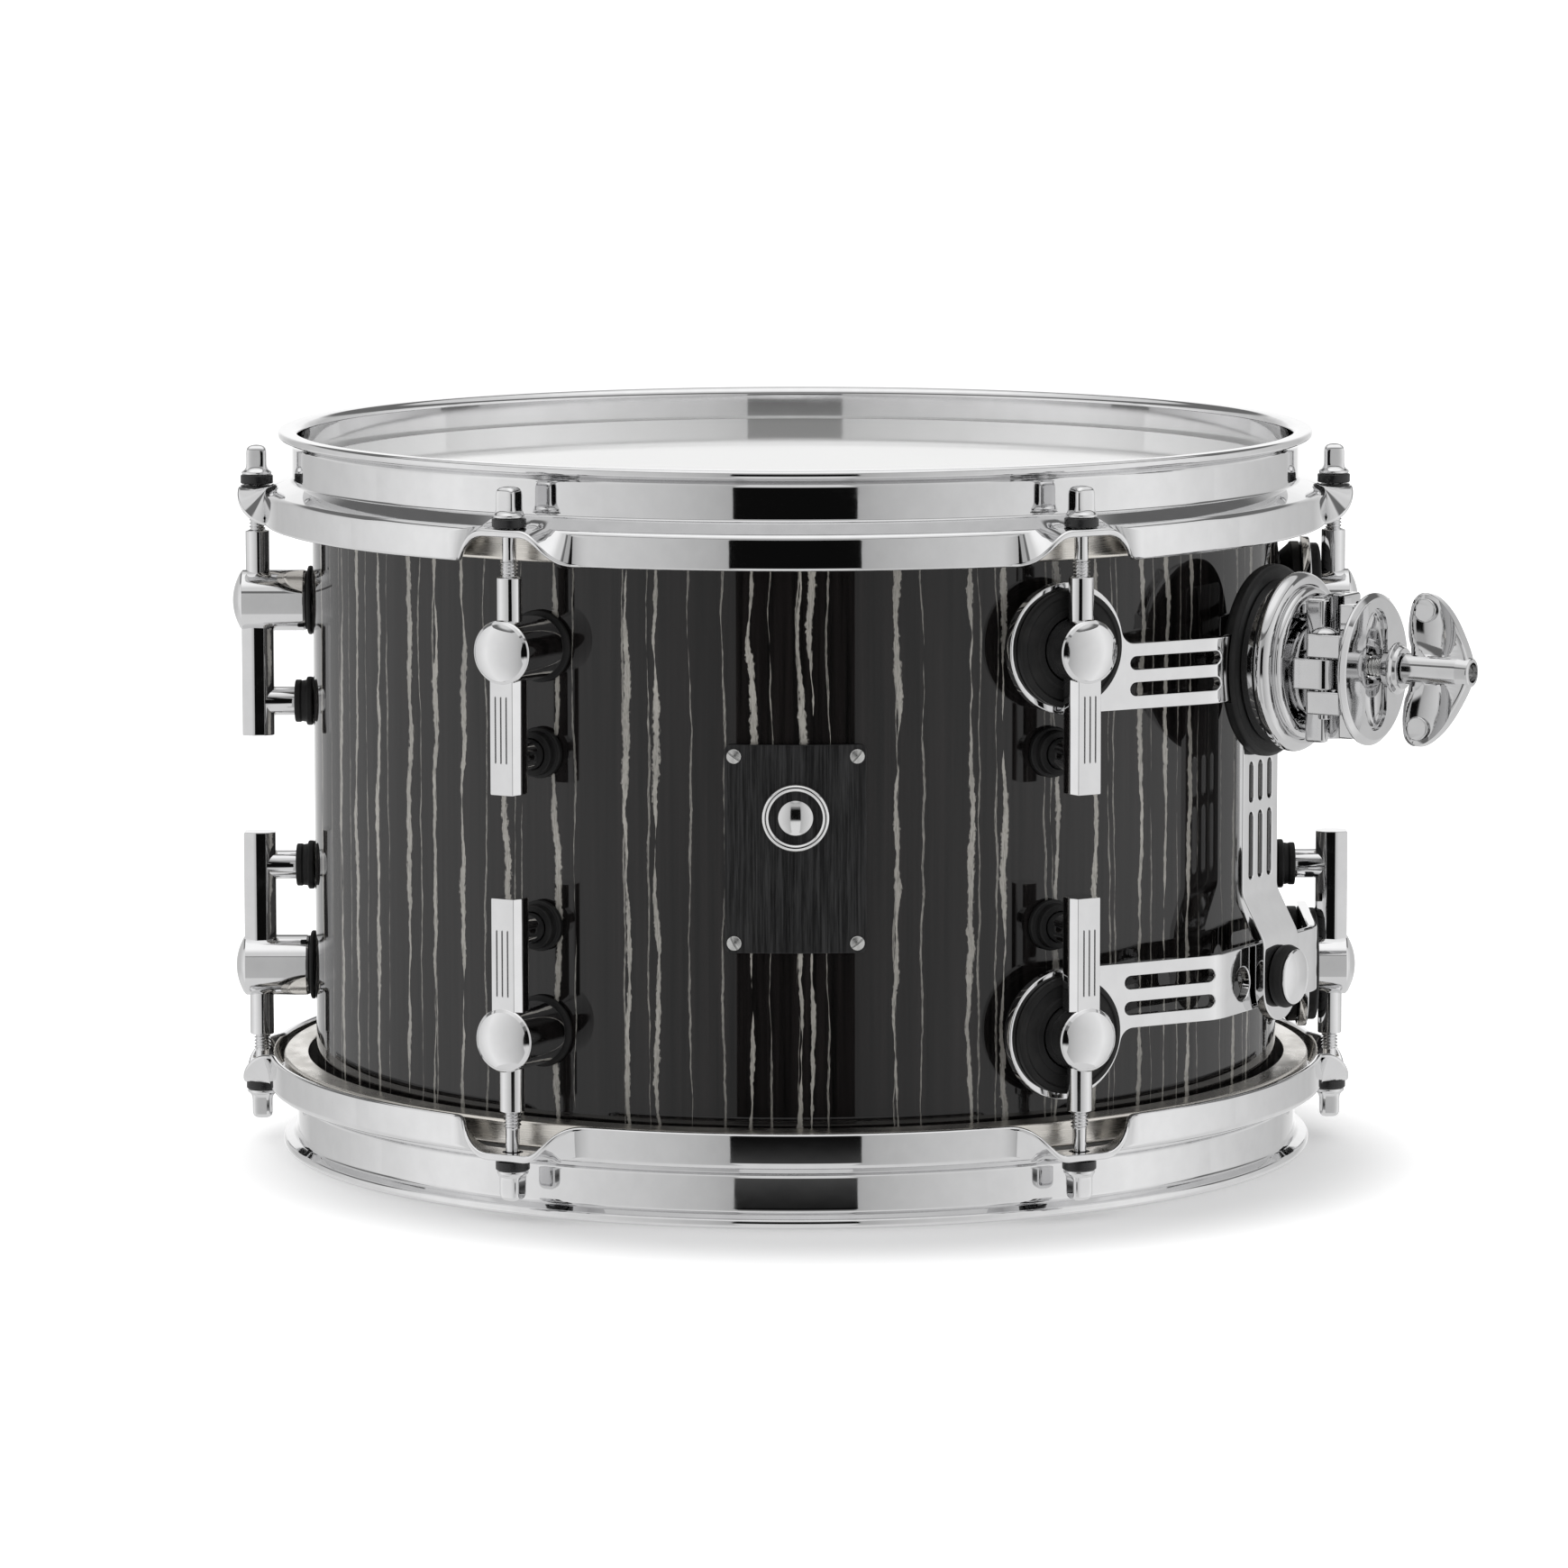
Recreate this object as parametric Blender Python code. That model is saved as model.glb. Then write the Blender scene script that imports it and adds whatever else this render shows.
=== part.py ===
"""Rack tom drum, 12 x 8 inch class, with a suspension mount on its side.

The drum's axis is Z. The origin is the centre of the batter head's playing face.
Heights inside this script are counted from the drum's mid-plane, which is MID below the origin.
Each fitting on the wall is built in its own wall frame and then turned to its azimuth:
X runs along the wall, -Y points out of the drum, Z is up. Azimuth 0 is the badge, at -Y.
"""
import math

import bmesh
import bpy
from mathutils import Euler, Matrix, Vector

MM = 0.001

# ---- driving dimensions, in millimetres ----
SHELL_R = 152.4            # 12 inch shell
SHELL_WALL = 6.0
SHELL_EDGE_Z = 102.8       # bearing edge height over the mid-plane
GAP = 0.3                  # clearance between pieces that touch
FILM = 0.4                 # two plies of film
FACE_Z = SHELL_EDGE_Z + GAP + FILM
MID = FACE_Z               # depth of the mid-plane under the origin
RIM_Z = 113.3              # rim tip over the mid-plane
HOOP_R = 158.7             # outside of the hoop's wall
HOOP_T = 2.3               # hoop steel
ROD_R = 170.0              # pitch radius of the tension rods
LUG_Z = 58.3               # lug post axis over the mid-plane
ROD_AZIMUTHS = (-150, -90, -30, 30, 90, 150)
MOUNT_AZIMUTH = 60
MOUNTED_AZIMUTHS = (30, 90)   # the lugs that carry the suspension bracket
RINGS = 48                 # facets of the large rings, 7.5 degrees each
VENT_HOLE_R = 6.0

PLATE_T = 3.0              # bracket steel
WING_R = 159.3             # inner face of a bracket wing, from the drum axis
MIDDLE_R = 165.05          # inner face of the bracket's middle
RING_OD_R = 19.85          # bracket ring round an isolator
RING_HOLE_R = 17.2

MOUNT_Z = 48.3             # axis of the mount pad and cup over the mid-plane
TAB_Z = -49.0              # bolt of the strut's tab
CLAMP_Z = 47.0             # clamp bolt's axis over the mid-plane
ARM_ROD_R = 5.25           # the 10.5 mm rod that the clamp takes
CHANNEL_BORE = ARM_ROD_R + 0.5
CHANNEL_X = -1.5
CHANNEL_R = 192.8          # centre of the clamp channel, from the drum axis
PIN_X = -14.5              # hinge pin of the clamp, along the wall
PIN_R = 193.2              # hinge pin, from the drum axis
PIN_BORE_R = 2.0
KNUCKLE_R = 4.4
BOLT_X = 9.0               # clamp bolt, along the wall
BLOCK_HALF = 22.0          # half height of the fixed block
BLOCK_BACK = 184.0
BLOCK_FACE = 190.8
JAW_BACK = 194.6           # back of the jaw's body, back and front of its cap, from the drum axis
JAW_PLATE = 199.2
JAW_FACE = 202.4
WING_TIP_R = 231.6
WING_REST = math.radians(8.0)     # turn of the wing nut at rest

ROD_HOLE_R = 3.2           # hole in a hoop ear
EAR_OFFSETS = (-30, -22, -14, -5.9, -4.0, -2.1, 0, 2.1, 4.0, 5.9, 14, 22)
EAR_FLAT = 2.1             # degrees each side of a rod where the ear lies flat
EAR_ROOT = 5.9             # degrees each side where the ear meets the skirt
EAR_BEND = (HOOP_R + 6.7, 92.8)   # centre of the hoop's flange bend
SKIRT = 8.8                # length of the hoop's skirt, and what an ear adds to it
EAR_EXTRA = 1.5

BADGE_HALF_W = 21.15
BADGE_TOP = 30.9
BADGE_BOTTOM = -31.8
BADGE_R = SHELL_R + GAP
BADGE_T = 1.0
BADGE_COLUMNS = 10
BADGE_SCREWS = ((-18.4, 27.4), (18.4, 27.4), (-18.4, -28.8), (18.4, -28.8))
EMBLEM_R = 10.2
EMBLEM_Z = 9.0

HALF_TURN = math.radians(30)     # from the mount to a carrying lug
WING_START = 12.0          # where an arm's strip starts, from its ring's centre
SLOT_ALONG = 38.6          # middle of an arm's slots, from its ring's centre
STRUT_HALF = 11.8
STRUT_R = 161.5
SHARP = math.radians(35)

COLOURS = {
    "lacquer": ((0.012, 0.010, 0.011), 0.08, 0.0),
    "film": ((0.80, 0.80, 0.79), 0.3, 0.0),
    "chrome": ((0.78, 0.78, 0.79), 0.06, 1.0),
    "steel": ((0.55, 0.55, 0.56), 0.25, 1.0),
    "aluminium": ((0.72, 0.70, 0.66), 0.35, 1.0),
    "rubber": ((0.015, 0.015, 0.016), 0.55, 0.0),
    "black_plate": ((0.012, 0.012, 0.013), 0.3, 0.4),
}


# ---- scene helpers ----
def clear_scene():
    for obj in list(bpy.data.objects):
        bpy.data.objects.remove(obj, do_unlink=True)


def material(name):
    found = bpy.data.materials.get(name)
    if found:
        return found
    colour, roughness, metallic = COLOURS[name]
    mat = bpy.data.materials.new(name)
    mat.use_nodes = True
    shader = mat.node_tree.nodes["Principled BSDF"]
    shader.inputs["Base Color"].default_value = (*colour, 1.0)
    shader.inputs["Roughness"].default_value = roughness
    shader.inputs["Metallic"].default_value = metallic
    return mat


def mesh_from(name, bm):
    """Make a mesh in metres from a bmesh in millimetres, with its faces pointing out."""
    bmesh.ops.remove_doubles(bm, verts=bm.verts, dist=1e-4)
    bmesh.ops.recalc_face_normals(bm, faces=bm.faces)
    bmesh.ops.scale(bm, vec=(MM, MM, MM), verts=bm.verts)
    mesh = bpy.data.meshes.new(name)
    bm.to_mesh(mesh)
    bm.free()
    mesh.shade_smooth()
    mesh.set_sharp_from_angle(angle=SHARP)
    return mesh


def place(name, mesh, mat, parent=None, rotation=(0, 0, 0), location=(0, 0, 0)):
    """Link an object for this mesh, under the drum's mid-plane empty unless told otherwise."""
    obj = bpy.data.objects.new(name, mesh)
    bpy.context.collection.objects.link(obj)
    if not mesh.materials:
        mesh.materials.append(material(mat))
    obj.parent = parent or bpy.data.objects["drum_axis"]
    obj.rotation_euler = rotation
    obj.location = [value * MM for value in location]
    return obj


def empty(name, location=(0, 0, 0), rotation=(0, 0, 0), parent=None):
    obj = bpy.data.objects.new(name, None)
    bpy.context.collection.objects.link(obj)
    obj.location = [value * MM for value in location]
    obj.rotation_euler = rotation
    obj.parent = parent
    return obj


def wall_turn(azimuth, lower=False):
    """Rotation that takes a wall frame to its azimuth; lower fittings hang upside down."""
    return (0, math.pi if lower else 0, math.radians(azimuth))


def combined(name, base, joined=(), cut=()):
    """Boolean the given meshes into one mesh: base plus joined, less cut."""
    host = bpy.data.objects.new(name + "_host", base)
    bpy.context.collection.objects.link(host)
    helpers = [host]
    operations = [(mesh, "UNION") for mesh in joined] + [(mesh, "DIFFERENCE") for mesh in cut]
    for mesh, operation in operations:
        tool = bpy.data.objects.new(name + "_tool", mesh)
        bpy.context.collection.objects.link(tool)
        tool.hide_render = True
        tool.display_type = "WIRE"
        modifier = host.modifiers.new(operation.lower(), "BOOLEAN")
        modifier.operation = operation
        modifier.solver = "EXACT"
        modifier.object = tool
        helpers.append(tool)
    depsgraph = bpy.context.evaluated_depsgraph_get()
    depsgraph.update()
    result = bpy.data.meshes.new_from_object(host.evaluated_get(depsgraph))
    result.name = name
    for helper in helpers:
        bpy.data.objects.remove(helper, do_unlink=True)
    bm = bmesh.new()
    bm.from_mesh(result)
    bmesh.ops.dissolve_limit(bm, angle_limit=math.radians(0.5), verts=bm.verts, edges=bm.edges)
    bmesh.ops.triangulate(bm, faces=[face for face in bm.faces if len(face.verts) > 4])
    bm.to_mesh(result)
    bm.free()
    result.materials.clear()
    result.shade_smooth()
    result.set_sharp_from_angle(angle=SHARP)
    return result


# ---- shape helpers: each returns a bmesh or a mesh in one frame ----
def bridge_rings(bm, rings, closed):
    """Quads between successive rings of vertices; caps on the ends when not closed."""
    pairs = list(zip(rings, rings[1:]))
    if closed:
        pairs.append((rings[-1], rings[0]))
    for low, high in pairs:
        count = len(low)
        for i in range(count):
            j = (i + 1) % count
            bm.faces.new((low[i], low[j], high[j], high[i]))
    if not closed:
        bm.faces.new(rings[0])
        bm.faces.new(rings[-1])


def turned(profile, sides, closed=True, phase=0.0):
    """Turn a (radius, height) profile about Z. A closed profile makes a ring, an open one a solid."""
    bm = bmesh.new()
    rings = []
    for radius, height in profile:
        ring = []
        for i in range(sides):
            angle = phase + 2 * math.pi * i / sides
            ring.append(bm.verts.new((radius * math.cos(angle), radius * math.sin(angle), height)))
        rings.append(ring)
    bridge_rings(bm, rings, closed)
    return bm


def turn_out(bm, x=0.0, z=0.0):
    """Lay a piece turned about Z along the wall frame's outward axis, heights becoming radii."""
    matrix = Matrix.Translation((x, 0, z)) @ Matrix.Rotation(math.radians(90), 4, "X")
    bmesh.ops.transform(bm, matrix=matrix, verts=bm.verts)
    return bm


def shifted(bm, x=0.0, y=0.0, z=0.0):
    bmesh.ops.translate(bm, vec=(x, y, z), verts=bm.verts)
    return bm


def block(low, high):
    """A box between two corners."""
    bm = bmesh.new()
    bmesh.ops.create_cube(bm, size=1.0)
    centre = [(a + b) / 2 for a, b in zip(low, high)]
    size = [b - a for a, b in zip(low, high)]
    bmesh.ops.scale(bm, vec=size, verts=bm.verts)
    bmesh.ops.translate(bm, vec=centre, verts=bm.verts)
    return bm


def extruded(outline, low, high, plane="XZ"):
    """Extrude a flat outline of (a, b) points from low to high along the third axis."""
    spots = {"XZ": lambda a, b, c: (a, c, b), "XY": lambda a, b, c: (a, b, c)}[plane]
    bm = bmesh.new()
    rings = [[bm.verts.new(spots(a, b, level)) for a, b in outline] for level in (low, high)]
    bridge_rings(bm, rings, closed=False)
    return bm


def slot_outline(x, z, length, width, steps=2, upright=False):
    """A slot with round ends, centred at (x, z)."""
    radius = width / 2
    reach = length / 2 - radius
    points = []
    for side, start in ((1, -90), (-1, 90)):
        for i in range(steps + 1):
            angle = math.radians(start + 180 * i / steps)
            points.append((side * reach + radius * math.cos(angle), radius * math.sin(angle)))
    if upright:
        points = [(-b, a) for a, b in points]
    return [(x + a, z + b) for a, b in points]


def circle_outline(x, z, radius, sides=16):
    return [(x + radius * math.cos(2 * math.pi * i / sides),
             z + radius * math.sin(2 * math.pi * i / sides)) for i in range(sides)]


# ---- shell and heads ----
def make_shell():
    inner = SHELL_R - SHELL_WALL
    edge = SHELL_R - 1.8
    upper = [(SHELL_R, SHELL_EDGE_Z - 1.8), (edge, SHELL_EDGE_Z),
             (inner, SHELL_EDGE_Z - (edge - inner))]
    lower = [(radius, -height) for radius, height in reversed(upper)]
    shell = mesh_from("shell", turned(upper + lower, RINGS, phase=-math.pi / 2))
    vent = turned([(VENT_HOLE_R, -SHELL_R - 5), (VENT_HOLE_R, -inner + 5)], 16, closed=False)
    cutter = mesh_from("vent_cutter", turn_out(vent))
    place("shell", combined("shell", shell, cut=(cutter,)), "lacquer")


def make_vent_grommet():
    """Flanged eyelet in the air vent, at the back of the shell."""
    bore = 3.6
    barrel = VENT_HOLE_R - GAP
    flange = 9.5
    outside = -SHELL_R - GAP - 0.3
    inside = -(SHELL_R - SHELL_WALL) + 1.5
    profile = [(bore, outside - 1.2), (flange, outside - 1.2), (flange, outside),
               (barrel, outside), (barrel, inside), (bore, inside)]
    mesh = mesh_from("vent_grommet", turn_out(turned(profile, 16)))
    place("vent_grommet", mesh, "chrome", rotation=wall_turn(0))


def make_heads():
    """A film disc with a sloped edge, and the flesh hoop with the film's collar crimped in it."""
    top = SHELL_EDGE_Z + GAP
    crown = SHELL_R - 1.3
    rim = SHELL_R + 3.0
    film = [(crown, top + FILM), (rim, 99.3), (rim - 0.6, 99.1), (crown - 0.2, top)]
    film_mesh = mesh_from("head_film", turned(film, RINGS, closed=False, phase=-math.pi / 2))
    hoop = [(162.6, 92.6), (162.6, 84.5), (154.9, 84.5), (154.9, 98.6), (155.8, 98.6), (155.8, 92.6)]
    hoop_mesh = mesh_from("flesh_hoop", turned(hoop, RINGS, phase=-math.pi / 2))
    for side, lower in (("batter", False), ("resonant", True)):
        turn = wall_turn(0, lower)
        place(side + "_head", film_mesh, "film", rotation=turn)
        place(side + "_flesh_hoop", hoop_mesh, "aluminium", rotation=turn)


# ---- counterhoops ----
def smooth(value):
    value = max(0.0, min(1.0, value))
    return value * value * (3 - 2 * value)


def hoop_section(offset):
    """Section of the hoop; its skirt turns up into an ear near a rod."""
    lift = 90 * smooth((EAR_ROOT - abs(offset)) / (EAR_ROOT - EAR_FLAT))
    bend = EAR_BEND
    flap = math.radians(lift)
    shoulder = math.radians(max(68, lift))
    length = SKIRT + EAR_EXTRA * math.sin(flap)
    out = (math.sin(flap) * length, -math.cos(flap) * length)

    def skin(angle):
        return (bend[0] + HOOP_T * math.cos(angle), bend[1] + HOOP_T * math.sin(angle))

    inner = HOOP_R - HOOP_T
    outside = [(HOOP_R, 97.8), skin(shoulder), skin(flap)]
    tip = (outside[-1][0] + out[0], outside[-1][1] + out[1])
    under = [(bend[0] + out[0], bend[1] + out[1]), bend, (inner, 95.8)]
    lip = [(inner, RIM_Z - 2.4), (inner + 2.0, RIM_Z), (HOOP_R + 3.9, RIM_Z),
           (HOOP_R + 4.3, RIM_Z - 1.2), (HOOP_R, RIM_Z - 3.2)]
    return outside + [tip] + under + lip


def make_hoops():
    bm = bmesh.new()
    rings = []
    for azimuth in ROD_AZIMUTHS:
        for offset in EAR_OFFSETS:
            angle = math.radians(azimuth + offset)
            rings.append([bm.verts.new((radius * math.sin(angle), -radius * math.cos(angle), height))
                          for radius, height in hoop_section(offset)])
    bridge_rings(bm, rings, closed=True)
    hoop = mesh_from("counterhoop", bm)
    holes = bmesh.new()
    for azimuth in ROD_AZIMUTHS:
        angle = math.radians(azimuth)
        outline = circle_outline(ROD_R * math.sin(angle), -ROD_R * math.cos(angle), ROD_HOLE_R, 10)
        ends = [[holes.verts.new((x, y, level)) for x, y in outline] for level in (88, 100)]
        bridge_rings(holes, ends, closed=False)
    mesh = combined("counterhoop", hoop, cut=(mesh_from("rod_holes", holes),))
    for side, lower in (("batter", False), ("resonant", True)):
        place(side + "_hoop", mesh, "chrome", rotation=wall_turn(0, lower))


# ---- tension rods and lugs ----
def rod_section(bm, half, height, square):
    """Eight points: a square with clipped corners, or a round."""
    points = []
    for i in range(8):
        angle = math.radians(22.5 + 45 * i)
        if square:
            a = half * (1 if math.cos(angle) > 0 else -1) * (1.0 if i % 4 in (0, 3) else 0.72)
            b = half * (1 if math.sin(angle) > 0 else -1) * (1.0 if i % 4 in (1, 2) else 0.72)
        else:
            a = half * math.cos(angle)
            b = half * math.sin(angle)
        points.append(bm.verts.new((a, b, height)))
    return points


def make_rods():
    """Key rod with its collar and washer, built on its own axis and turning about it."""
    sections = [(2.3, 107.6, True), (3.25, 106.4, True), (3.25, 100.4, True), (4.7, 99.0, False),
                (5.15, 98.0, False), (5.15, 95.4, False), (2.15, 95.4, False),
                (2.15, 85.6, False), (2.55, 85.2, False), (2.55, 62.8, False)]
    bm = bmesh.new()
    rings = [rod_section(bm, *section) for section in sections]
    bridge_rings(bm, rings, closed=False)
    mesh = mesh_from("tension_rod", bm)
    for side, lower in (("batter", False), ("resonant", True)):
        for index, azimuth in enumerate(ROD_AZIMUTHS, 1):
            angle = math.radians(azimuth)
            spot = (ROD_R * math.sin(angle), -ROD_R * math.cos(angle), 0)
            axis = empty(f"{side}_rod_axis_{index}", spot, wall_turn(azimuth, lower),
                         bpy.data.objects["drum_axis"])
            place(f"{side}_tension_rod_{index}", mesh, "chrome", parent=axis)


def make_lugs():
    """Lug casting: a domed post, a sleeve for the rod, and an arm with a second small post."""
    seat = SHELL_R + GAP
    post = [(10.6, seat), (9.8, seat + 2.0), (9.7, 175.2), (6.9, 177.2), (2.5, 178.0)]
    body = mesh_from("lug_post", turn_out(turned(post, 12, closed=False), z=LUG_Z))
    sleeve = turned([(3.9, LUG_Z), (3.9, 80.5)], 8, closed=False)
    arm = block((-3.9, -175.0, 15.5), (3.9, -165.0, LUG_Z))
    small = [(7.6, seat), (6.7, seat + 2.2), (6.6, 158.6), (4.6, 158.6), (4.6, 168.0)]
    foot = turn_out(turned(small, 8, closed=False, phase=math.pi / 8), z=26.2)
    joined = (mesh_from("lug_sleeve", shifted(sleeve, y=-ROD_R)), mesh_from("lug_arm", arm),
              mesh_from("lug_foot", foot))
    bore = shifted(turned([(2.95, 60.0), (2.95, 84.0)], 6, closed=False), y=-ROD_R)
    mesh = combined("lug", body, joined, (mesh_from("lug_bore", bore),))
    for side, lower in (("batter", False), ("resonant", True)):
        for index, azimuth in enumerate(ROD_AZIMUTHS, 1):
            place(f"{side}_lug_{index}", mesh, "chrome", rotation=wall_turn(azimuth, lower))


# ---- badge ----
def make_badge():
    """Plate curved to the shell, a plain round emblem, and four screws."""
    bm = bmesh.new()
    rings = []
    for i in range(BADGE_COLUMNS + 1):
        angle = (2 * i / BADGE_COLUMNS - 1) * BADGE_HALF_W / BADGE_R
        ring = []
        for radius, height in ((BADGE_R, BADGE_BOTTOM), (BADGE_R + BADGE_T, BADGE_BOTTOM),
                               (BADGE_R + BADGE_T, BADGE_TOP), (BADGE_R, BADGE_TOP)):
            ring.append(bm.verts.new((radius * math.sin(angle), -radius * math.cos(angle), height)))
        rings.append(ring)
    bridge_rings(bm, rings, closed=False)
    place("badge_plate", mesh_from("badge_plate", bm), "black_plate")
    face = BADGE_R + BADGE_T + GAP
    emblem = turned([(EMBLEM_R, face), (EMBLEM_R, face + 0.7), (EMBLEM_R - 0.6, face + 1.2)], 20,
                    closed=False)
    place("badge_emblem", mesh_from("badge_emblem", turn_out(emblem, z=EMBLEM_Z)), "chrome")
    head = turned([(2.2, 0.0), (2.2, 0.5), (1.5, 0.9)], 8, closed=False)
    screw = mesh_from("badge_screw", turn_out(head))
    for index, (arc, height) in enumerate(BADGE_SCREWS, 1):
        angle = arc / BADGE_R
        spot = (face * math.sin(angle), -face * math.cos(angle), height)
        place(f"badge_screw_{index}", screw, "steel", rotation=(0, 0, angle), location=spot)


# ---- suspension bracket ----
def wing_point(along, depth, side):
    """Place a point of a wing in the mount's wall frame: distance along it, and radius."""
    x = along * math.cos(HALF_TURN) - depth * math.sin(HALF_TURN)
    radius = depth * math.cos(HALF_TURN) + along * math.sin(HALF_TURN)
    return (x if side < 0 else -x, -radius)


def bend_along(depth_wing, depth_middle):
    """Distance along a wing at which its plane meets the middle's plane."""
    return (depth_middle - depth_wing * math.cos(HALF_TURN)) / math.sin(HALF_TURN)


def wing_prism(outline, side, inner, outer):
    """Extrude an (along, z) outline through a wing, between two distances from the drum axis."""
    bm = bmesh.new()
    rings = []
    for depth in (inner, outer):
        spots = [wing_point(along, depth, side) for along, _ in outline]
        rings.append([bm.verts.new((x, y, z)) for (x, y), (_, z) in zip(spots, outline)])
    bridge_rings(bm, rings, closed=False)
    return bm


def wing_cutter(outline, side):
    return wing_prism(outline, side, WING_R - 2, WING_R + PLATE_T + 2)


def make_arm(name, low, high, centre_z, slots, holes):
    """Bent arm between two isolators: a strip with a ring on each end."""
    inner = WING_R
    outer = WING_R + PLATE_T
    path = [wing_point(WING_START, outer, -1),
            wing_point(bend_along(outer, MIDDLE_R + PLATE_T), outer, -1)]
    back = [wing_point(bend_along(inner, MIDDLE_R), inner, -1), wing_point(WING_START, inner, -1)]
    outline = path + [(-x, y) for x, y in reversed(path)] + [(-x, y) for x, y in reversed(back)] + back
    strip = mesh_from(name + "_strip", extruded(outline, low, high, "XY"))
    joined = []
    cut = []
    for side in (-1, 1):
        ring = wing_prism(circle_outline(0, centre_z, RING_OD_R, 20), side, inner + 0.05, outer - 0.05)
        joined.append(mesh_from(name + "_ring", ring))
        hole = wing_cutter(circle_outline(0, centre_z, RING_HOLE_R, 20), side)
        cut.append(mesh_from(name + "_hole", hole))
        for height in slots:
            slot = wing_cutter(slot_outline(SLOT_ALONG, height, 32.3, 4.0), side)
            cut.append(mesh_from(name + "_slot", slot))
    for outline in holes:
        cut.append(mesh_from(name + "_round", extruded(outline, -MIDDLE_R + 2, -MIDDLE_R - 5)))
    place(name, combined(name, strip, joined, cut), "chrome", rotation=wall_turn(MOUNT_AZIMUTH))


def make_strut():
    """Upright plate that ties the two arms behind the mount, bent out to its bolted tab."""
    side = [(STRUT_R, 70.0), (STRUT_R + 3.2, 70.0), (STRUT_R + 3.2, -22.5), (172.0, -38.0),
            (172.0, -59.5), (169.0, -59.5), (169.0, -39.0), (STRUT_R, -24.0)]
    bm = bmesh.new()
    rings = [[bm.verts.new((x, -radius, z)) for radius, z in side] for x in (-STRUT_HALF, STRUT_HALF)]
    bridge_rings(bm, rings, closed=False)
    cut = [mesh_from("strut_hole", extruded(circle_outline(0, TAB_Z, 4.3, 12), -180, -160)),
           mesh_from("strut_bore", extruded(circle_outline(0, MOUNT_Z, 4.3, 12), -180, -155))]
    for x in (-6.2, 0, 6.2):
        for high, low in ((17.4, 4.9), (1.9, -18.9)):
            outline = slot_outline(x, (high + low) / 2, high - low, 3.0, upright=True)
            cut.append(mesh_from("strut_slot", extruded(outline, -170, -155)))
    mesh = combined("bracket_strut", mesh_from("strut_plate", bm), cut=cut)
    place("bracket_strut", mesh, "chrome", rotation=wall_turn(MOUNT_AZIMUTH))


def make_isolators():
    """Rubber isolator round a lug post, gripping the bracket ring between its two discs."""
    bore = 11.2
    outer = 18.3
    neck = RING_HOLE_R - GAP - 0.1
    profile = [(bore, SHELL_R + GAP), (15.5, SHELL_R + GAP), (outer, 156.2),
               (outer, WING_R - GAP), (neck, WING_R - GAP), (neck, WING_R + PLATE_T + GAP),
               (outer, WING_R + PLATE_T + GAP), (outer, 164.4), (bore, 164.6)]
    mesh = mesh_from("isolator", turn_out(turned(profile, 16), z=LUG_Z))
    for side, lower in (("upper", False), ("lower", True)):
        for place_name, azimuth in zip(("front", "rear"), MOUNTED_AZIMUTHS):
            place(f"{side}_{place_name}_isolator", mesh, "rubber", rotation=wall_turn(azimuth, lower))


def on_mount(name, bm, mat):
    place(name, mesh_from(name, bm), mat, rotation=wall_turn(MOUNT_AZIMUTH))


def make_tab_fastener():
    """Rubber grommet and domed bolt that hold the strut's tab to the lower arm."""
    grommet = [(4.4, 172.3), (9.7, 172.3), (9.7, 175.4), (8.6, 175.9), (4.4, 175.9)]
    on_mount("tab_grommet", turn_out(turned(grommet, 14), z=TAB_Z), "rubber")
    bolt = [(6.5, 160.2), (6.5, 164.7), (3.9, 164.7), (3.9, 176.2), (8.5, 176.2), (8.2, 177.4),
            (5.5, 178.6)]
    on_mount("tab_bolt", turn_out(turned(bolt, 12, closed=False), z=TAB_Z), "chrome")


# ---- clamp ----
def make_mount_base():
    """Rubber pad notched over the upper arm, chrome cup, and the bolt that ties them to the strut."""
    pad = turn_out(turned([(5.2, 165.2), (29.4, 165.2), (29.4, 169.8), (5.2, 169.8)], 20), z=MOUNT_Z)
    notch = block((-40.0, -MIDDLE_R - PLATE_T - GAP, 37.9), (40.0, -160.0, 58.7))
    mesh = combined("mount_pad", mesh_from("pad_disc", pad), cut=(mesh_from("pad_notch", notch),))
    place("mount_pad", mesh, "rubber", rotation=wall_turn(MOUNT_AZIMUTH))
    cup = [(5.2, 170.1), (25.2, 170.1), (25.6, 174.0), (27.5, 176.0), (27.5, 178.0), (24.6, 180.0),
           (22.4, 182.2), (20.0, 182.2), (18.6, 180.6), (18.6, 178.0), (5.2, 178.0)]
    on_mount("mount_cup", turn_out(turned(cup, 20), z=MOUNT_Z), "chrome")
    bolt = [(6.5, 156.5), (6.5, 161.1), (4.0, 161.1), (4.0, 174.9), (3.6, 175.3)]
    on_mount("mount_bolt", turn_out(turned(bolt, 12, closed=False), z=MOUNT_Z), "steel")


def upright(x, radius_out, radius, low, high, sides):
    """A round upright bar in the wall frame, between two heights over the clamp's axis."""
    outline = circle_outline(x, -radius_out, radius, sides)
    return extruded(outline, CLAMP_Z + low, CLAMP_Z + high, "XY")


def slab_at(x_range, radii, low, high):
    """A block between two places along the wall, two radii and two heights over the clamp's axis."""
    return block((x_range[0], -radii[1], CLAMP_Z + low), (x_range[1], -radii[0], CLAMP_Z + high))


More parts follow.
